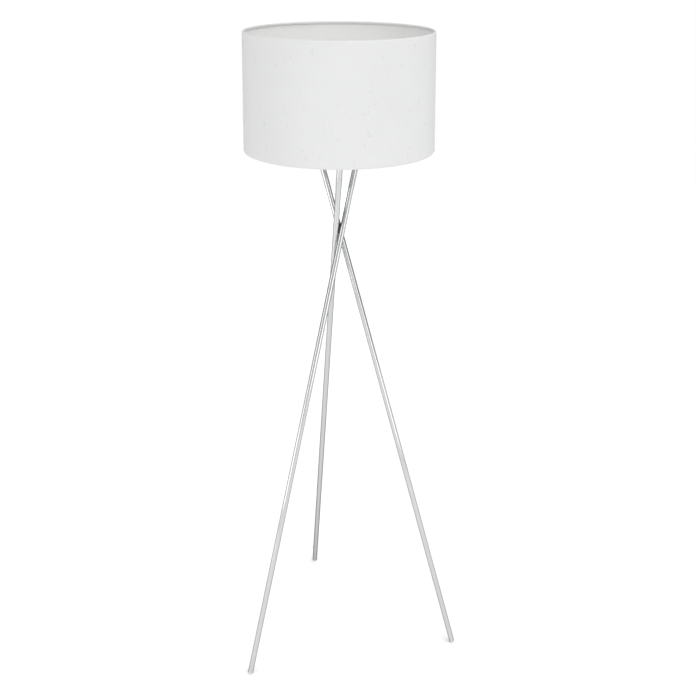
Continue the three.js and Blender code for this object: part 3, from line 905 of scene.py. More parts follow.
class SlubYarns(ShapeTree):
    """Thick places in the yarn, laid on the outside of a drum of cloth."""

    def __init__(self) -> None:
        """Builds the tree."""
        super().__init__("slub_yarns", {
            "Density": "NodeSocketFloat", "Seed": "NodeSocketInt", "Thick": "NodeSocketFloat",
            "Beyond": "NodeSocketFloat", "Low": "NodeSocketFloat", "High": "NodeSocketFloat",
            "Centre": "NodeSocketVector",
        })
        cloth = self.given("Geometry")
        where = self.node("ShaderNodeVectorMath", {"operation": "SUBTRACT"},
                          {0: self.node("GeometryNodeInputPosition"), 1: self.given("Centre")})
        x, y, z = (self.node("ShaderNodeSeparateXYZ", None, {0: where}, i) for i in range(3))
        radius = (x * x + y * y).power(0.5)
        outside = self._more(radius, self.given("Beyond"))
        kept = outside * self._more(z, self.given("Low")) * self._more(self.given("High"), z)
        inputs = {"Mesh": cloth, "Selection": kept, "Density": self.given("Density"),
                  "Seed": self.given("Seed")}
        points = self.node("GeometryNodeDistributePointsOnFaces", None, inputs)
        level = self._more(self._random(0.0, 1.0, 1), 0.8)
        turn = self.node("ShaderNodeMath", {"operation": "ARCTAN2"}, {0: y, 1: x})
        lie = self.node("ShaderNodeCombineXYZ", None, {0: level * (math.pi / 2), 2: turn})
        thick = self.given("Thick") * self._random(0.5, 1.1, 2)
        size = self.node("ShaderNodeCombineXYZ", None,
                         {0: thick * 0.45, 1: thick, 2: self._random(0.0025, 0.0085, 3)})
        yarn = self.node("GeometryNodeMeshUVSphere", None, {"Segments": 8, "Rings": 8, "Radius": 1.0})
        yarns = self.node("GeometryNodeInstanceOnPoints", None,
                          {"Points": points, "Instance": yarn, "Rotation": lie, "Scale": size})
        marked = self.node("GeometryNodeStoreNamedAttribute", {"data_type": "FLOAT", "domain": "INSTANCE"},
                           {"Geometry": yarns, "Name": "slub", "Value": self._random(-1.0, 1.1, 4)})
        smooth_yarns = self.node("GeometryNodeSetShadeSmooth", None,
                                 {"Geometry": self.node("GeometryNodeRealizeInstances", None, {0: marked})})
        both = self.tree.nodes.new("GeometryNodeJoinGeometry")
        for part in (smooth_yarns, cloth):
            self.tree.links.new(part.socket, both.inputs[0])
        self.close(Signal(self.tree, both.outputs[0]))

    def _more(self, value: Feed, limit: Feed) -> Signal:
        """1 where a value is more than a limit, else 0."""
        return self.node("ShaderNodeMath", {"operation": "GREATER_THAN"}, {0: value, 1: limit})

    def _random(self, low: float, high: float, seed: int) -> Signal:
        """A random number for each slub.

        Args:
            low: the least it can be.
            high: the most it can be.
            seed: which set of numbers.

        Returns:
            The number.
        """
        inputs = {2: low, 3: high, "Seed": seed}
        return self.node("FunctionNodeRandomValue", {"data_type": "FLOAT"}, inputs, 1)


# ------------------------------------------------------------------ the maker's bench


@dataclass
class Bench:
    """What every sub-assembly shares: the lamp's axis, the trees and the finishes."""

    axis: Vector
    repeat: Repeat = field(default_factory=Repeat)
    relief: Relief = field(default_factory=Relief)
    drum: DrumSweep = field(default_factory=DrumSweep)
    slubs: SlubYarns = field(default_factory=SlubYarns)
    materials: dict[str, bpy.types.Material] = field(default_factory=dict)

    def material(self, finish: "Finish") -> bpy.types.Material:
        """A finish's material, made once.

        Args:
            finish: the finish.

        Returns:
            Its material.
        """
        if finish.name not in self.materials:
            self.materials[finish.name] = finish.make()
        return self.materials[finish.name]

    def set_down(self, made: bpy.types.Object, finish: "Finish", body: Body,
                 nodes: Sequence[str], moved: bool = True) -> bpy.types.Object:
        """Dresses a piece, puts it on the lamp's axis and lets it ride.

        Args:
            made: the piece, about the lamp's axis.
            finish: its finish.
            body: the body that it moves with.
            nodes: the design's nodes that it stands for.
            moved: whether it still has to be moved to the axis.

        Returns:
            The piece.
        """
        if moved:
            made.data.transform(Matrix.Translation(self.axis))
        made.data.materials.clear()
        made.data.materials.append(self.material(finish))
        for face in made.data.polygons:
            face.material_index = 0
        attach(made, body.value)
        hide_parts(*nodes)
        LOG.info("%s stands for %s", made.name, ", ".join(nodes))
        return made

    def dress(self, node: str, finish: "Finish") -> None:
        """Gives one of the design's own nodes a finish.

        Args:
            node: the node's name.
            finish: its finish.
        """
        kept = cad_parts[node]
        for place in kept.material_slots:
            place.material = self.material(finish)
        LOG.info("%s keeps its shape and is finished as %s", node, finish.name)


Finish = Union[Plated, Moulded, Glazed, Coated, WovenCloth, LinerFilm]

# Bright chrome has rim=0.7: painted dark reflection along the tubes' outlines.
CHROME = Plated("bright_chrome", "chrome", (0.63, 0.635, 0.64), 0.09, 0.03, edge=0.25, rim=0.7)
SATIN_CHROME = Plated("spun_chrome", "chrome", (0.62, 0.625, 0.63), 0.2, 0.05, edge=0.5)
ZINC = Plated("zinc_plate", "zinc_steel", (0.60, 0.61, 0.62), 0.34, 0.08)
BRASS = Plated("turned_brass", "brass", (0.78, 0.61, 0.30), 0.3, 0.08, (1, 1, 30), 300.0)
ALUMINIUM = Plated("pressed_aluminium", "aluminium", (0.76, 0.77, 0.78), 0.36, 0.08)
BLACK = Moulded("black_nylon", "black_plastic", (0.014, 0.014, 0.014), 0.5)
PALE = Moulded("pale_glide", "clear_plastic", (0.80, 0.80, 0.79), 0.34)
WHITE = Moulded("white_moulding", "white_plastic", (0.86, 0.86, 0.84), 0.38)
SHEATH = Moulded("white_sheath", "cord_sheath", (0.78, 0.78, 0.76), 0.5)
PORCELAIN = Glazed("glazed_porcelain", "porcelain", (0.86, 0.84, 0.79), 0.3, 0.6)
OPAL = Glazed("opal_diffuser", "opal", (0.88, 0.87, 0.83), 0.34, 0.2, 0.15)
WIRE = Coated("coated_wire", "white_wire", (0.84, 0.84, 0.83), 0.45)
FILM = LinerFilm("shade_film", "liner_film", (0.83, 0.83, 0.82), 0.5)


# ------------------------------------------------------------------ tripod


@dataclass
class Tripod:
    """Three tubes that pass at a waist hub, with their glides, sleeves and the cord gland."""

    bench: Bench
    foot_circle: float = 0.3093
    waist_height: float = 1.086
    waist_radius: float = 0.00854
    first_turn: float = math.radians(-48)
    tube_radius: float = 0.0065
    tube_bore: float = 0.0055
    glide_dome: float = 0.008
    glide_flat: float = 0.0006
    lip_radius: float = 0.0067
    lip_height: float = 0.0016
    stem_length: float = 0.016
    gap: float = 0.0003
    leg_top: float = 1.2893
    sleeve_bottom: float = 1.267
    sleeve_radius: float = 0.0089
    lock_height: float = 1.277
    gland_height: float = 0.046
    gland_hole: float = 0.0042
    hub_radius: float = 0.008
    sides: int = 72

    def __post_init__(self) -> None:
        """Works out the legs' lean."""
        self.reach = math.sqrt(self.foot_circle**2 - self.waist_radius**2)
        self.tilt = math.atan2(self.reach, self.waist_height)
        self.dome_centre = (self.glide_dome - self.glide_flat) / math.cos(self.tilt)
        self.lip_bottom = self.dome_centre - math.sqrt(self.glide_dome**2 - self.lip_radius**2)
        self.lip_top = self.lip_bottom + self.lip_height

    def up_leg(self, height: float) -> float:
        """Distance up a leg to a height."""
        return height / math.cos(self.tilt)

    def leg_matrix(self, index: int = 0) -> Matrix:
        """The leg's own frame: Z up the leg from the floor, X away from the lamp.

        Args:
            index: which leg, from 0.

        Returns:
            The matrix about the lamp's axis.
        """
        turn = self.first_turn + index * THIRD_TURN
        waist = Vector((math.cos(turn), math.sin(turn), 0)) * self.waist_radius
        lean = Vector((-math.sin(turn), math.cos(turn), 0))
        foot = waist - lean * self.reach
        up = (lean * math.sin(self.tilt) + Vector((0, 0, math.cos(self.tilt)))).normalized()
        side = up.cross(foot.normalized()).normalized()
        turned_frame = Matrix((side.cross(up), side, up)).transposed().to_4x4()
        return Matrix.Translation(foot) @ turned_frame

    def along_leg(self, name: str, outline: Outline, sides: int, index: int = 0) -> bpy.types.Mesh:
        """A turned mesh on a leg's axis.

        Args:
            name: the mesh's name.
            outline: its outline.
            sides: facets round it.
            index: which leg.

        Returns:
            The mesh about the lamp's axis.
        """
        mesh = turned(name, outline, sides)
        mesh.transform(self.leg_matrix(index))
        return mesh

    def three(self, made: bpy.types.Object) -> bpy.types.Object:
        """Repeats the first leg's piece for all three legs, on the lamp's axis."""
        return self.bench.repeat.apply(made, {"Count": 3, "Centre": self.bench.axis})

    def build(self) -> None:
        """Builds and dresses every piece of the tripod."""
        legs = ("front", "right", "rear")
        self._tubes([f"leg_tube_{leg}" for leg in legs])
        self._glides([f"foot_glide_{leg}" for leg in legs])
        self._sleeves([f"leg_sleeve_{leg}" for leg in legs])
        self._lock_screws([f"leg_lock_screw_{leg}" for leg in legs])
        self._hub()
        self._gland()
        self.bench.dress("supply_lead", SHEATH)

    def _tubes(self, nodes: list[str]) -> None:
        """The three hollow tubes, with broken edges and the hole for the gland.

        Args:
            nodes: the tubes' nodes.
        """
        low, high = self.lip_top + self.gap, self.up_leg(self.leg_top)
        outline = [(self.tube_bore, low), (self.tube_radius, low), (self.tube_radius, high),
                   (self.tube_bore, high)]
        mesh = self.along_leg("leg_tubes", rounded(ring_of(outline), 0.0002, 3), self.sides)
        made = self.three(piece("leg_tubes", mesh))
        hole = turned("gland_hole", bar(self.gland_hole, 0, 0.02), 40)
        hole.transform(self._gland_matrix())
        self.bench.set_down(carved(made, hole), CHROME, Body.FRAME, nodes, moved=False)

    def _glides(self, nodes: list[str]) -> None:
        """The domed glides, each with its flat where it stands.

        Args:
            nodes: the glides' nodes.
        """
        stem = self.tube_bore - self.gap
        end = self.lip_top + self.stem_length
        first, last = -math.pi / 2, -math.acos(self.lip_radius / self.glide_dome)
        dome = [(self.glide_dome * math.cos(a), self.dome_centre + self.glide_dome * math.sin(a))
                for a in (first + (last - first) * i / 14 for i in range(15))]
        dome[0] = (0, dome[0][1])
        rest = rounded([dome[-1], (self.lip_radius, self.lip_top), (stem, self.lip_top),
                        (stem, end - 0.002), (stem - 0.0012, end), (0, end)], 0.0003)
        mesh = self.along_leg("foot_glides", dome[:-1] + rest, 48)
        made = self.three(piece("foot_glides", level_cut(mesh, 0.0, keep_above=True)))
        self.bench.set_down(made, PALE, Body.FRAME, nodes, moved=False)

    def _sleeves(self, nodes: list[str]) -> None:
        """The sleeves under the canopy, cut off just under the plate.

        Args:
            nodes: the sleeves' nodes.
        """
        bore = self.tube_radius + self.gap
        low, high = self.up_leg(self.sleeve_bottom), self.up_leg(1.3)
        outline = [(bore, low), (self.sleeve_radius, low), (self.sleeve_radius, high), (bore, high)]
        mesh = self.along_leg("leg_sleeves", rounded(ring_of(outline), 0.0006), self.sides)
        plate_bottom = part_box("canopy_plate")[0].z
        mesh = level_cut(mesh, plate_bottom - self.gap, keep_above=False)
        made = self.three(piece("leg_sleeves", mesh))
        self.bench.set_down(made, SATIN_CHROME, Body.FRAME, nodes, moved=False)

    def _lock_screws(self, nodes: list[str]) -> None:
        """The screws that lock the tubes in their sleeves.

        Args:
            nodes: the screws' nodes.
        """
        mesh = slotted_screw("leg_lock_screws", 0.002, 0.0034, 0.0023)
        shift = Matrix.Translation((self.sleeve_radius + self.gap, 0, self.up_leg(self.lock_height)))
        mesh.transform(self.leg_matrix() @ shift @ Matrix.Rotation(math.pi / 2, 4, "Y"))
        made = self.three(piece("leg_lock_screws", mesh))
        self.bench.set_down(made, ZINC, Body.FRAME, nodes, moved=False)

    def _hub(self) -> None:
        """The black hub, hollowed by the three tubes that pass it."""
        low, high = (corner.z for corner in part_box("waist_hub"))
        mesh = turned("waist_hub_core", rounded(bar(self.hub_radius, low, high), 0.0012), 96)
        made = piece("waist_hub_core", mesh)
        clear = self.tube_radius + self.gap * 0.5
        tool = bar(clear, self.up_leg(low - 0.02), self.up_leg(high + 0.02))
        tools = [self.along_leg("tube_room", tool, 96, i) for i in range(3)]
        # Painted shade in part: the hub is a real joint piece, and its black also stands for the shade in
        # the narrow gap between the crossing tubes.
        self.bench.set_down(carved(made, *tools), BLACK, Body.FRAME, ["waist_hub"])

    def _gland_matrix(self) -> Matrix:
        """Where the gland sits: its own Z points out of the rear leg, away from the lamp."""
        up = Matrix.Translation((0, 0, self.up_leg(self.gland_height)))
        tilt = Matrix.Rotation(math.pi / 2, 4, "Y")
        return Matrix.Translation(self.bench.axis) @ self.leg_matrix(2) @ up @ tilt

    def _gland(self) -> None:
        """The rubber gland where the lead leaves the rear leg."""
        face = self.tube_radius + self.gap
        outline = [(0.0032, 0.0043), (0.0039, 0.0043), (0.0039, face), (0.0056, face),
                   (0.0056, face + 0.001), (0.0048, face + 0.0022), (0.0032, face + 0.0022)]
        mesh = turned("lead_gland", rounded(ring_of(outline), 0.0004), 48)
        mesh.transform(self._gland_matrix())
        self.bench.set_down(piece("lead_gland", mesh), BLACK, Body.FRAME, ["cord_gland"], moved=False)


def slotted_screw(name: str, shank: float, head: float, length: float) -> bpy.types.Mesh:
    """A slotted cheese-head screw whose head points along +Z from its seat at zero.

    Args:
        name: the mesh's name.
        shank: the shank's radius.
        head: the head's radius.
        length: how far the shank goes down.

    Returns:
        The mesh.
    """
    thick = head * 0.55
    outline = [(0, -length), (shank, -length), (shank, 0), (head, 0), (head, thick * 0.8),
               (head * 0.86, thick), (0, thick)]
    made = piece(name, turned(name, rounded(outline, head * 0.12), 40))
    slot = bmesh.new()
    size = (head * 3, head * 0.26, thick)
    place = Matrix.Translation((0, 0, thick)) @ Matrix.Diagonal((*size, 1))
    bmesh.ops.create_cube(slot, size=1.0, matrix=place)
    made = carved(made, closed_mesh(slot, "screw_slot"))
    mesh = made.data
    bpy.data.objects.remove(made)
    return mesh


# ------------------------------------------------------------------ canopy


@dataclass
class Canopy:
    """The plate and spun cover that join the legs' tops and carry the lampholder."""

    bench: Bench
    plate_radius: float = 0.074
    plate_low: float = 1.292
    plate_high: float = 1.295
    cover_radius: float = 0.072
    cover_wall: float = 0.0015
    cover_top: float = 1.321
    neck_radius: float = 0.024
    side_height: float = 0.014
    flange_inner: float = 0.06
    flange: float = 0.002
    bore: float = 0.0053
    lead_hole: float = 0.0052
    gap: float = 0.0003

    def build(self) -> None:
        """Builds and dresses the canopy and what it holds."""
        self._plate()
        self._cover()
        self._screws()
        for node, finish in (("threaded_nipple", BRASS), ("earth_tag", BRASS), ("nipple_nut", ZINC),
                             ("cord_grip", BLACK), ("cord_grip_screw", ZINC)):
            self.bench.dress(node, finish)

    def _plate(self) -> None:
        """The round plate, with the hole that lets the lead into the rear leg."""
        low, high = self.plate_low, self.plate_high
        outline = rounded(bar(self.plate_radius, low, high), 0.001, 6)
        made = piece("canopy_base", turned("canopy_base", outline, 128))
        tripod = Tripod(self.bench)
        entry = tripod.leg_matrix(2) @ Vector((0, 0, tripod.up_leg(high)))
        hole = turned("lead_hole", bar(self.lead_hole, low - 0.01, high + 0.01), 40)
        hole.transform(Matrix.Translation((entry.x, entry.y, 0)))
        self.bench.set_down(carved(made, hole), SATIN_CHROME, Body.FRAME, ["canopy_plate"])

    def _cover(self) -> None:
        """The spun cover with its turned-in flange."""
        seat = self.plate_high + self.gap
        edge, wall, top = self.cover_radius, self.cover_wall, self.cover_top
        shoulder = seat + self.side_height
        outline = [
            (self.flange_inner, seat), (edge, seat), (edge, shoulder - 0.004),
            (edge - 0.0015, shoulder - 0.001), (edge - 0.005, shoulder), (self.neck_radius, top),
            (self.bore, top), (self.bore, top - wall), (self.neck_radius, top - wall),
            (edge - wall - 0.0045, shoulder - wall), (edge - wall, shoulder - 0.005),
            (edge - wall, seat + self.flange), (self.flange_inner, seat + self.flange),
        ]
        mesh = turned("canopy_spun_cover", rounded(ring_of(outline), 0.0012, 5), 128)
        self.bench.set_down(piece("canopy_spun_cover", mesh), SATIN_CHROME, Body.FRAME, ["canopy_cover"])

    def _screws(self) -> None:
        """The three screws that hold the cover, from under the plate."""
        mesh = slotted_screw("canopy_screws", 0.0015, 0.0029, 0.0056)
        low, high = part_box("cover_screw_1")
        middle = (low + high) / 2 - self.bench.axis
        flip = Matrix.Rotation(math.pi, 4, "X")
        mesh.transform(Matrix.Translation((middle.x, middle.y, self.plate_low - self.gap)) @ flip)
        nodes = [f"cover_screw_{i}" for i in (1, 2, 3)]
        values = {"Count": 3, "Centre": self.bench.axis}
        made = self.bench.repeat.apply(piece("canopy_screws", mesh), values)
        self.bench.set_down(made, ZINC, Body.FRAME, nodes, moved=False)


# ------------------------------------------------------------------ lampholder and bulb


@dataclass
class Lampholder:
    """The moulded lampholder with its threaded skirt, screw shell and retaining ring."""

    bench: Bench
    radius: float = 0.0195
    seam: float = 1.341
    top: float = 1.379
    base: float = 1.3213
    shoulder_low: float = 1.346
    shoulder_high: float = 1.3485
    shoulder_radius: float = 0.023
    shell_bore: float = 0.0137
    shell_wall: float = 0.0006
    skirt_bore: float = 0.0149
    thread_pitch: float = 0.0029
    shell_pitch: float = 0.00363
    thread_depth: float = 0.0009
    bore: float = 0.0053
    sides: int = 144

    def build(self) -> None:
        """Builds and dresses the lampholder."""
        self._cap()
        self._skirt()
        self._screw_shell()
        self._ring()
        self.bench.dress("contact_block", PORCELAIN)
        self.bench.dress("centre_contact", BRASS)

    def threaded(self, name: str, outline: Outline, count: int, per_metre: float, depth: float,
                 span: tuple[float, float], beyond: float) -> bpy.types.Object:
        """A turned piece with a thread or flutes pressed in, on the lamp's axis.

        Args:
            name: the piece's name.
            outline: its outline, with enough points along the pressed length.
            count: starts or flutes round the axis.
            per_metre: turns of the thread in a metre, or 0 for straight flutes.
            depth: how deep it is pressed.
            span: its lowest and highest height.
            beyond: only what is further from the axis than this is pressed.

        Returns:
            The piece.
        """
        made = piece(name, turned(name, outline, self.sides if count == 1 else count * 8))
        values = {"Count": count, "Per Metre": per_metre, "Depth": depth, "Low": span[0],
                  "High": span[1], "Fade": 0.0008, "Beyond": beyond, "Centre": self.bench.axis}
        made = self.bench.relief.apply(made, values)
        smooth(made.data, 50)
        return made

    def _cap(self) -> None:
        """The domed cap that holds the terminals."""
        inner = self.radius - 0.002
        outline = [(self.bore, self.base), (0.0155, self.base), (self.radius, self.base + 0.005),
                   (self.radius, self.seam), (inner, self.seam), (inner, 1.3275), (0.009, 1.3275),
                   (0.009, 1.3305), (self.bore, 1.3305)]
        mesh = turned("lampholder_cap", rounded(ring_of(outline), 0.0008), 96)
        self.bench.set_down(piece("lampholder_cap", mesh), WHITE, Body.FRAME, ["holder_cap"])

    def _skirt(self) -> None:
        """The skirt with its shoulder and outer thread."""
        low = self.seam + 0.0003
        wall = ladder((self.radius, self.shoulder_high + 0.0003), (self.radius, self.top - 0.001), 90)
        outline = [
            (self.skirt_bore, low), (self.radius, low), (self.radius, self.shoulder_low - 0.0006),
            (self.shoulder_radius, self.shoulder_low), (self.shoulder_radius, self.shoulder_high),
            *wall, (self.radius - 0.001, self.top), (self.skirt_bore, self.top), (self.skirt_bore, low),
        ]
        made = self.threaded("lampholder_skirt", outline, 1, 1 / self.thread_pitch, self.thread_depth,
                             (self.shoulder_high + 0.001, self.top - 0.002), self.radius - 0.0004)
        self.bench.set_down(made, WHITE, Body.FRAME, ["holder_skirt"], moved=False)

    def _screw_shell(self) -> None:
        """The rolled screw shell that takes the bulb."""
        low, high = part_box("screw_shell")[0].z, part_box("screw_shell")[1].z
        bore, outer = self.shell_bore + 0.0003, self.shell_bore + self.shell_wall + 0.0003
        outline = [*ladder((outer, low), (outer, high), 60),
                   *ladder((bore, high), (bore, low), 60), (outer, low)]
        made = self.threaded("lampholder_shell", outline, 1, 1 / self.shell_pitch, 0.0003,
                             (low + 0.001, high - 0.001), 0)
        self.bench.set_down(made, ALUMINIUM, Body.FRAME, ["screw_shell"], moved=False)

    def _ring(self) -> None:
        """The retaining ring with its grip flutes."""
        low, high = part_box("retaining_ring")[0].z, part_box("retaining_ring")[1].z
        bore = self.radius + 0.0007
        wall = ladder((0.0272, low + 0.0008), (0.0272, high - 0.0022), 10)
        outline = [(bore, low), (0.0265, low), *wall, (0.0254, high), (bore + 0.0006, high),
                   (bore, high - 0.0006), (bore, low)]
        made = self.threaded("shade_ring", outline, 36, 0.0, self.thread_depth,
                             (low + 0.0006, high - 0.001), 0.0262)
        self.bench.set_down(made, WHITE, Body.RING, ["retaining_ring"], moved=False)


def ladder(start: tuple[float, float], end: tuple[float, float], steps: int) -> Outline:
    """Even points from one outline point to another."""
    return [(start[0] + (end[0] - start[0]) * i / steps, start[1] + (end[1] - start[1]) * i / steps)
            for i in range(steps + 1)]


@dataclass
class Bulb:
    """The opal LED bulb."""

    bench: Bench
    holder: Lampholder
    cap_radius: float = 0.0132
    cap_low: float = 1.357
    neck: float = 1.38
    waist: float = 1.412
    radius: float = 0.03
    top: float = 1.459
    wall: float = 0.0014

    def build(self) -> None:
        """Builds and dresses the bulb."""
        self._screw_cap()
        self._body()
        self._diffuser()
        tip = [(0, 1.3518), (0.0016, 1.3519), (0.0034, 1.3526), (0.0046, 1.354), (0.0046, 1.355),
               (0, 1.355)]
        self._plain("bulb_solder_tip", rounded(tip, 0.0004), ALUMINIUM, "bulb_tip_contact")
        glass = [(0, 1.3553), (0.006, 1.3553), (0.012, self.cap_low - 0.0003), (0, self.cap_low - 0.0003)]
        self._plain("bulb_cap_glass", rounded(glass, 0.0004), BLACK, "bulb_insulator")
        self.bench.dress("led_board", ALUMINIUM)

    def _plain(self, name: str, outline: Outline, finish: "Finish", node: str) -> None:
        """A simple turned piece of the bulb.

        Args:
            name: the piece's name.
            outline: its outline.
            finish: its finish.
            node: the node that it stands for.
        """
        self.bench.set_down(piece(name, turned(name, outline, 96)), finish, Body.BULB, [node])

    def _screw_cap(self) -> None:
        """The screw cap with its rolled thread."""
        high = self.neck - 0.0003
        wall = ladder((self.cap_radius, self.cap_low + 0.002), (self.cap_radius, high), 70)
        outline = [(0, self.cap_low), (0.012, self.cap_low), *wall, (0, high)]
        made = self.holder.threaded("bulb_rolled_cap", outline, 1, 1 / self.holder.shell_pitch,
                                    self.holder.thread_depth, (self.cap_low + 0.002, high - 0.004), 0.0121)
        self.bench.set_down(made, ALUMINIUM, Body.BULB, ["bulb_screw_cap"], moved=False)

    def _body(self) -> None:
        """The bulb's moulded body."""
        side = ((0.014, 0), (0.0148, 0.004), (0.0162, 0.009), (0.0202, 0.0165), (0.0252, 0.025))
        outline = [(0, self.neck), *((out, self.neck + up) for out, up in side),
                   (0.0282, self.waist), (0, self.waist)]
        self._plain("bulb_moulded_body", rounded(outline, 0.003, 6), WHITE, "bulb_body")

    def _diffuser(self) -> None:
        """The opal diffuser: an open thin shell."""
        centre, low = self.top - self.radius, self.waist + 0.0003
        inside = self.radius - self.wall

        def sweep(radius: float, start: float, end: float) -> Outline:
            """Points on the globe's outline between two angles."""
            angles = [start + (end - start) * i / 28 for i in range(29)]
            return [(radius * math.cos(a), centre + radius * math.sin(a)) for a in angles]

        outer_start = -math.asin((centre - low) / self.radius)
        inner_start = -math.asin((centre - low) / inside)
        outer = sweep(self.radius, outer_start, math.pi / 2)
        inner = sweep(inside, math.pi / 2, inner_start)
        outer[-1], inner[0] = (0, outer[-1][1]), (0, inner[0][1])
        mesh = turned("bulb_opal_globe", [*outer, *inner, outer[0]], 96)
        self.bench.set_down(piece("bulb_opal_globe", mesh), OPAL, Body.BULB, ["bulb_diffuser"])


# ------------------------------------------------------------------ shade


@dataclass
class Shade:
    """The drum shade: cloth rolled over two wires, the film behind it, and the spoked fitter."""

    bench: Bench
    cloth: float = 0.0008
    film: float = 0.0008
    glue: float = 0.0003
    wire: float = 0.00175
    hem: float = 0.0072
    seam_turn: float = math.radians(64)
    lap_width: float = 0.012
    lap_step: float = 0.00045
    ring_bore: float = 0.0205
    slub_density: float = 1100.0
    slub_thick: float = 0.0009
    slub_seed: int = 7
    slub_margin: float = 0.015
    spoke_turn: float = -math.pi / 2
    sides: int = 360

    def __post_init__(self) -> None:
        """Reads the drum's size from the design's nodes."""
        low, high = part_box("shade_cloth")
        self.low, self.high = low.z, high.z
        self.low_radius = (high.x - low.x) / 2
        self.inset = self.cloth + self.glue + self.wire
        wire_low, wire_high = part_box("shade_wire_top")
        self.top_radius = (wire_high.x - wire_low.x) / 2 + self.cloth + self.glue
        self.finish = WovenCloth("slub_cloth", "shade_cloth", (0.695, 0.697, 0.70), tuple(self.bench.axis),
                                 self.low_radius, self.seam_turn)

    def radius_at(self, height: float) -> float:
        """The cloth's outer radius at a height."""
        share = (height - self.low) / (self.high - self.low)
        return self.low_radius + (self.top_radius - self.low_radius) * share

    def build(self) -> None:
        """Builds and dresses the shade."""
        self._cloth()
        self._film()
        self._wires()
        self._fitter()

    def _edge(self) -> list[tuple[float, float]]:
        """The rolled edge's section, as (inward, from the rim), from the outside to the inside.

        Returns:
            The points, for either rim.
        """
        def roll(radius: float, start: float, end: float) -> list[tuple[float, float]]:
            """Points round the wire between two angles."""
            angles = [start + (end - start) * i / 14 for i in range(15)]
            return [(self.inset + radius * math.cos(a), self.inset + radius * math.sin(a)) for a in angles]

        lies = self.cloth + self.glue + self.film + self.glue
        outside = roll(self.inset, math.pi, 2 * math.pi)
        inside = roll(self.inset - self.cloth, 2 * math.pi, math.pi)
        turn_out = [(lies + self.cloth + 0.0021, 0.0044), (lies + self.cloth + 0.0010, 0.0053),
                    (lies + self.cloth + 0.0002, 0.0060), (lies + self.cloth, self.hem - 0.0003),
                    (lies + self.cloth - 0.0003, self.hem)]
        turn_back = [(lies + 0.0002, self.hem), (lies, self.hem - 0.0003), (lies + 0.0002, 0.0062),
                     (lies + 0.0006, 0.0056), (lies + 0.0015, 0.0046)]
        return [*outside, *turn_out, *turn_back, *inside]

    def _section(self, points: list[tuple[float, float]], name: str, radius: float) -> bpy.types.Object:
        """A closed section as a curve, ready to be swept at a radius.

        Args:
            points: (radius, height) points of the section.
            name: the curve's name.
            radius: the sweep's radius.

        Returns:
            The curve object.
        """
        curve = bpy.data.curves.new(name, "CURVE")
        curve.dimensions = "3D"
        line = curve.splines.new("POLY")
        line.points.add(len(points) - 1)
        for spot, (out, height) in zip(line.points, points):
            spot.co = (out - radius, -height, 0, 1)
        line.use_cyclic_u = True
        made = bpy.data.objects.new(name, curve)
        bpy.context.scene.collection.objects.link(made)
        return made

    def _swept(self, name: str, points: list[tuple[float, float]], radius: float, lap: float,
               sides: int) -> bpy.types.Object:
        """Sweeps a section round the lamp's axis.

        Args:
            name: the piece's name.
            points: (radius, height) points of the section.
            radius: the sweep's radius.
            lap: how far the lap stands proud.
            sides: facets round the axis.

        Returns:
            The piece, with its faces outwards.
        """
        values = {"Radius": radius, "Sides": sides, "Lap Turn": self.seam_turn,
                  "Lap Width": self.lap_width, "Lap Step": lap, "Centre": self.bench.axis}
        made = self.bench.drum.apply(self._section(points, name, radius), values)
        shape = bmesh.new()
        shape.from_mesh(made.data)
        bmesh.ops.remove_doubles(shape, verts=shape.verts, dist=1e-7)
        bmesh.ops.recalc_face_normals(shape, faces=shape.faces)
        shape.to_mesh(made.data)
        shape.free()
        smooth(made.data, 50)
        return made

    def _cloth(self) -> None:
        """The cloth, rolled over both wires, with its glued lap and room for the spokes."""
        edge = self._edge()
        bottom = [(self.radius_at(self.low + up) - inward, self.low + up) for inward, up in edge]
        top = [(self.radius_at(self.high - down) - inward, self.high - down)
               for inward, down in reversed(edge)]
        outer = ladder(top[-1], bottom[0], 24)[1:-1]
        inner = ladder(bottom[-1], top[0], 24)[1:-1]
        made = self._swept("shade_slub_cloth", [*bottom, *inner, *top, *outer], self.low_radius,
                           self.lap_step, self.sides)
        rooms = [self._spoke(f"spoke_room_{i}", self.wire + 0.0006, i, 0.0) for i in range(3)]
        for room in rooms:
            room.transform(Matrix.Translation(self.bench.axis))
        made = carved(made, *rooms)
        made = self.bench.slubs.apply(made, {
            "Density": self.slub_density, "Seed": self.slub_seed, "Thick": self.slub_thick,
            "Beyond": self.top_radius - 0.0006, "Low": self.low + self.slub_margin,
            "High": self.high - self.slub_margin, "Centre": self.bench.axis,
        })
        self.bench.set_down(made, self.finish, Body.SHADE, ["shade_cloth"], moved=False)
        round_it = 2 * math.pi * (self.low_radius + self.top_radius) / 2 + self.lap_width
        tall = self.high - self.low + 2 * self.hem + 2 * math.pi * self.inset / 2

    def _film(self) -> None:
        """The white film that stiffens the cloth; its lap is not raised."""
        low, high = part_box("shade_liner")[0].z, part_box("shade_liner")[1].z
        back = self.cloth + self.glue
        outer = ladder((self.radius_at(low) - back, low), (self.radius_at(high) - back, high), 12)
        inner = [(r - self.film, z) for r, z in reversed(outer)]
        made = self._swept("shade_film_liner", [*outer, *inner], self.low_radius, 0.0, self.sides)
        self.bench.set_down(made, FILM, Body.SHADE, ["shade_liner"], moved=False)

    def _wires(self) -> None:
        """The two wire rings that the cloth is rolled over."""
        meshes = []
        for height in (self.low + self.inset, self.high - self.inset):
            middle = self.radius_at(height) - self.inset
            angles = [2 * math.pi * i / 20 for i in range(21)]
            circle = [(middle + self.wire * math.cos(a), height + self.wire * math.sin(a)) for a in angles]
            circle[-1] = circle[0]
            meshes.append(turned("wire", circle, self.sides // 2))
        made = piece("shade_wires", joined("shade_wires", *meshes))
        self.bench.set_down(made, WIRE, Body.SHADE, ["shade_wire_top", "shade_wire_bottom"])

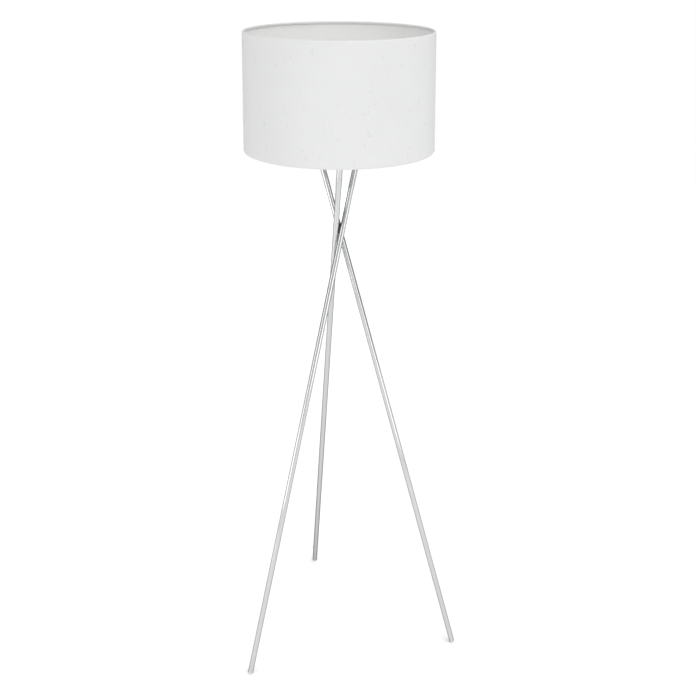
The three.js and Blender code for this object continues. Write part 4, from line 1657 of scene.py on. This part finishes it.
    def _spoke(self, name: str, radius: float, index: int, bow: float) -> bpy.types.Mesh:
        """One spoke from the centre ring down to the lower wire.

        Args:
            name: the mesh's name.
            radius: the spoke's radius.
            index: which spoke, from 0.
            bow: how far its middle stands above a straight line.

        Returns:
            The mesh about the lamp's axis.
        """
        ring_low, ring_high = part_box("fitter_ring")
        start, start_z = (ring_high.x - ring_low.x) / 2 + 0.0006, (ring_low.z + ring_high.z) / 2
        wire_z = self.low + self.inset
        end = self.radius_at(wire_z) - self.inset - self.wire - self.glue
        turn = self.spoke_turn + index * THIRD_TURN
        path = []
        for i in range(17):
            t = i / 16
            out, up = start + (end - start) * t, start_z + (wire_z + 0.0009 - start_z) * t
            up += bow * math.sin(math.pi * t)
            path.append(Vector((out * math.cos(turn), out * math.sin(turn), up)))
        return swept(name, path, radius, 20)

    def _fitter(self) -> None:
        """The centre ring and the three spokes."""
        low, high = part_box("fitter_ring")
        bore, edge = self.ring_bore, (high.x - low.x) / 2
        outline = [(bore, low.z), (edge, low.z), (edge, high.z), (bore, high.z)]
        ring = turned("fitter_centre_ring", rounded(ring_of(outline), 0.0007), 128)
        self.bench.set_down(piece("fitter_centre_ring", ring), WIRE, Body.SHADE, ["fitter_ring"])
        spoke = piece("fitter_spokes", self._spoke("fitter_spokes", self.wire, 0, 0.0))
        made = self.bench.repeat.apply(spoke, {"Count": 3, "Centre": self.bench.axis})
        smooth(made.data)
        self.bench.set_down(made, WIRE, Body.SHADE, [f"fitter_spoke_{i}" for i in (1, 2, 3)], moved=False)


# ------------------------------------------------------------------ studio


@dataclass(frozen=True)
class Panel:
    """An upright softbox that faces the lamp."""

    name: str
    turn: float
    distance: float
    width: float
    height: float
    strength: float
    lift: float = 0.15

    def build(self, axis: Vector) -> None:
        """Adds the panel.

        Args:
            axis: the lamp's axis.
        """
        angle = math.radians(self.turn)
        away = Vector((math.sin(angle), -math.cos(angle), 0))
        place = axis + away * self.distance + Vector((0, 0, self.height / 2 + self.lift))
        face = away.to_track_quat("Z", "Y").to_matrix().to_4x4()
        made = self._softbox()
        made.matrix_world = Matrix.Translation(place) @ face
        made.visible_camera = False
        bpy.context.scene.collection.objects.link(made)

    def _softbox(self) -> bpy.types.Object:
        """The panel as an area light of even brightness."""
        data = bpy.data.lights.new(self.name, "AREA")
        data.shape = "RECTANGLE"
        data.size, data.size_y = self.width, self.height
        data.energy = self.strength * math.pi * self.width * self.height
        return bpy.data.objects.new(self.name, data)



@dataclass
class Studio:
    """A pale floor, soft light and the camera."""

    axis: Vector
    camera_back: float = 2.4198
    camera_height: float = 1.7735
    camera_pitch: float = 0.3833
    camera_yaw: float = 0.0088
    camera_roll: float = 0.0031
    lens: float = 55.70
    floor_size: float = 160.0
    floor_tone: float = 0.93
    sky: float = 0.72
    sky_dip: float = 0.45
    backdrop: float = 1.05
    sun_power: float = 1.55
    sun_turn: float = math.radians(35)
    sun_lean: float = math.radians(25)
    sun_spread: float = math.radians(70)
    panels: tuple[Panel, ...] = (
        Panel("right_softbox", 42, 2.3, 0.8, 2.2, 1.75),
        Panel("left_softbox", -57, 2.3, 0.55, 2.2, 3.0),
        Panel("back_softbox", 180, 5.0, 4.0, 2.4, 1.0),
    )

    def build(self) -> None:
        """Builds the floor, the lights and the camera."""
        self._camera()
        self._floor()
        self._sky()
        self._sun()
        for panel in self.panels:
            panel.build(self.axis)
        bpy.context.scene.view_settings.view_transform = "Standard"

    def _camera(self) -> None:
        """The camera, a little above the shade and looking down on it."""
        data = bpy.data.cameras.new("studio_camera")
        data.lens = self.lens
        data.sensor_width = 36
        made = bpy.data.objects.new("studio_camera", data)
        spin = Matrix.Rotation(-self.camera_yaw, 4, "Z")
        pitch = Matrix.Rotation(math.pi / 2 - self.camera_pitch, 4, "X")
        roll = Matrix.Rotation(self.camera_roll, 4, "Z")
        place = self.axis + Vector((0, -self.camera_back, self.camera_height))
        made.matrix_world = Matrix.Translation(place) @ spin @ pitch @ roll
        bpy.context.scene.collection.objects.link(made)
        bpy.context.scene.camera = made

    def _floor(self) -> None:
        """A wide pale floor."""
        shape = bmesh.new()
        bmesh.ops.create_grid(shape, x_segments=1, y_segments=1, size=self.floor_size / 2)
        mesh = bpy.data.meshes.new("studio_floor")
        shape.to_mesh(mesh)
        shape.free()
        tone = (self.floor_tone, self.floor_tone, self.floor_tone, 1)
        inputs = {"Base Color": tone, "Roughness": 0.9, "Specular IOR Level": 0.0}
        mesh.materials.append(Paint("pale_floor").finish(inputs))
        piece("studio_floor", mesh)

    def _sky(self) -> None:
        """Even white light from all round, with a white backdrop behind the lamp."""
        world = bpy.data.worlds.new("studio_sky")
        world.use_nodes = True
        tree = world.node_tree
        tree.nodes.clear()
        seen = add_node(tree, "ShaderNodeLightPath", output="Is Camera Ray")
        where = add_node(tree, "ShaderNodeTexCoord", output="Generated")
        side = add_node(tree, "ShaderNodeSeparateXYZ", None, {0: where}, "X")
        around = (1 - side * side * self.sky_dip) * self.sky
        strength = seen * self.backdrop + (1 - seen) * around
        light = add_node(tree, "ShaderNodeBackground", None, {"Color": (1, 1, 1, 1), "Strength": strength})
        add_node(tree, "ShaderNodeOutputWorld", None, {"Surface": light})
        bpy.context.scene.world = world

    def _sun(self) -> None:
        """A broad overhead light that falls evenly on the whole floor."""
        data = bpy.data.lights.new("overhead_light", "SUN")
        data.energy = self.sun_power
        data.angle = self.sun_spread
        made = bpy.data.objects.new("overhead_light", data)
        made.matrix_world = Matrix.Rotation(self.sun_turn, 4, "Z") @ Matrix.Rotation(self.sun_lean, 4, "X")
        bpy.context.scene.collection.objects.link(made)


# ------------------------------------------------------------------ assembly


def main() -> None:
    """Builds the studio, then each sub-assembly."""
    logging.basicConfig(level=logging.INFO, format="%(name)s: %(message)s")
    low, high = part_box("holder_skirt")
    axis = Vector(((low.x + high.x) / 2, (low.y + high.y) / 2, 0))
    Studio(axis).build()
    bench = Bench(axis)
    Tripod(bench).build()
    Canopy(bench).build()
    holder = Lampholder(bench)
    holder.build()
    Bulb(bench, holder).build()
    Shade(bench).build()


if __name__ == "__main__":
    main()
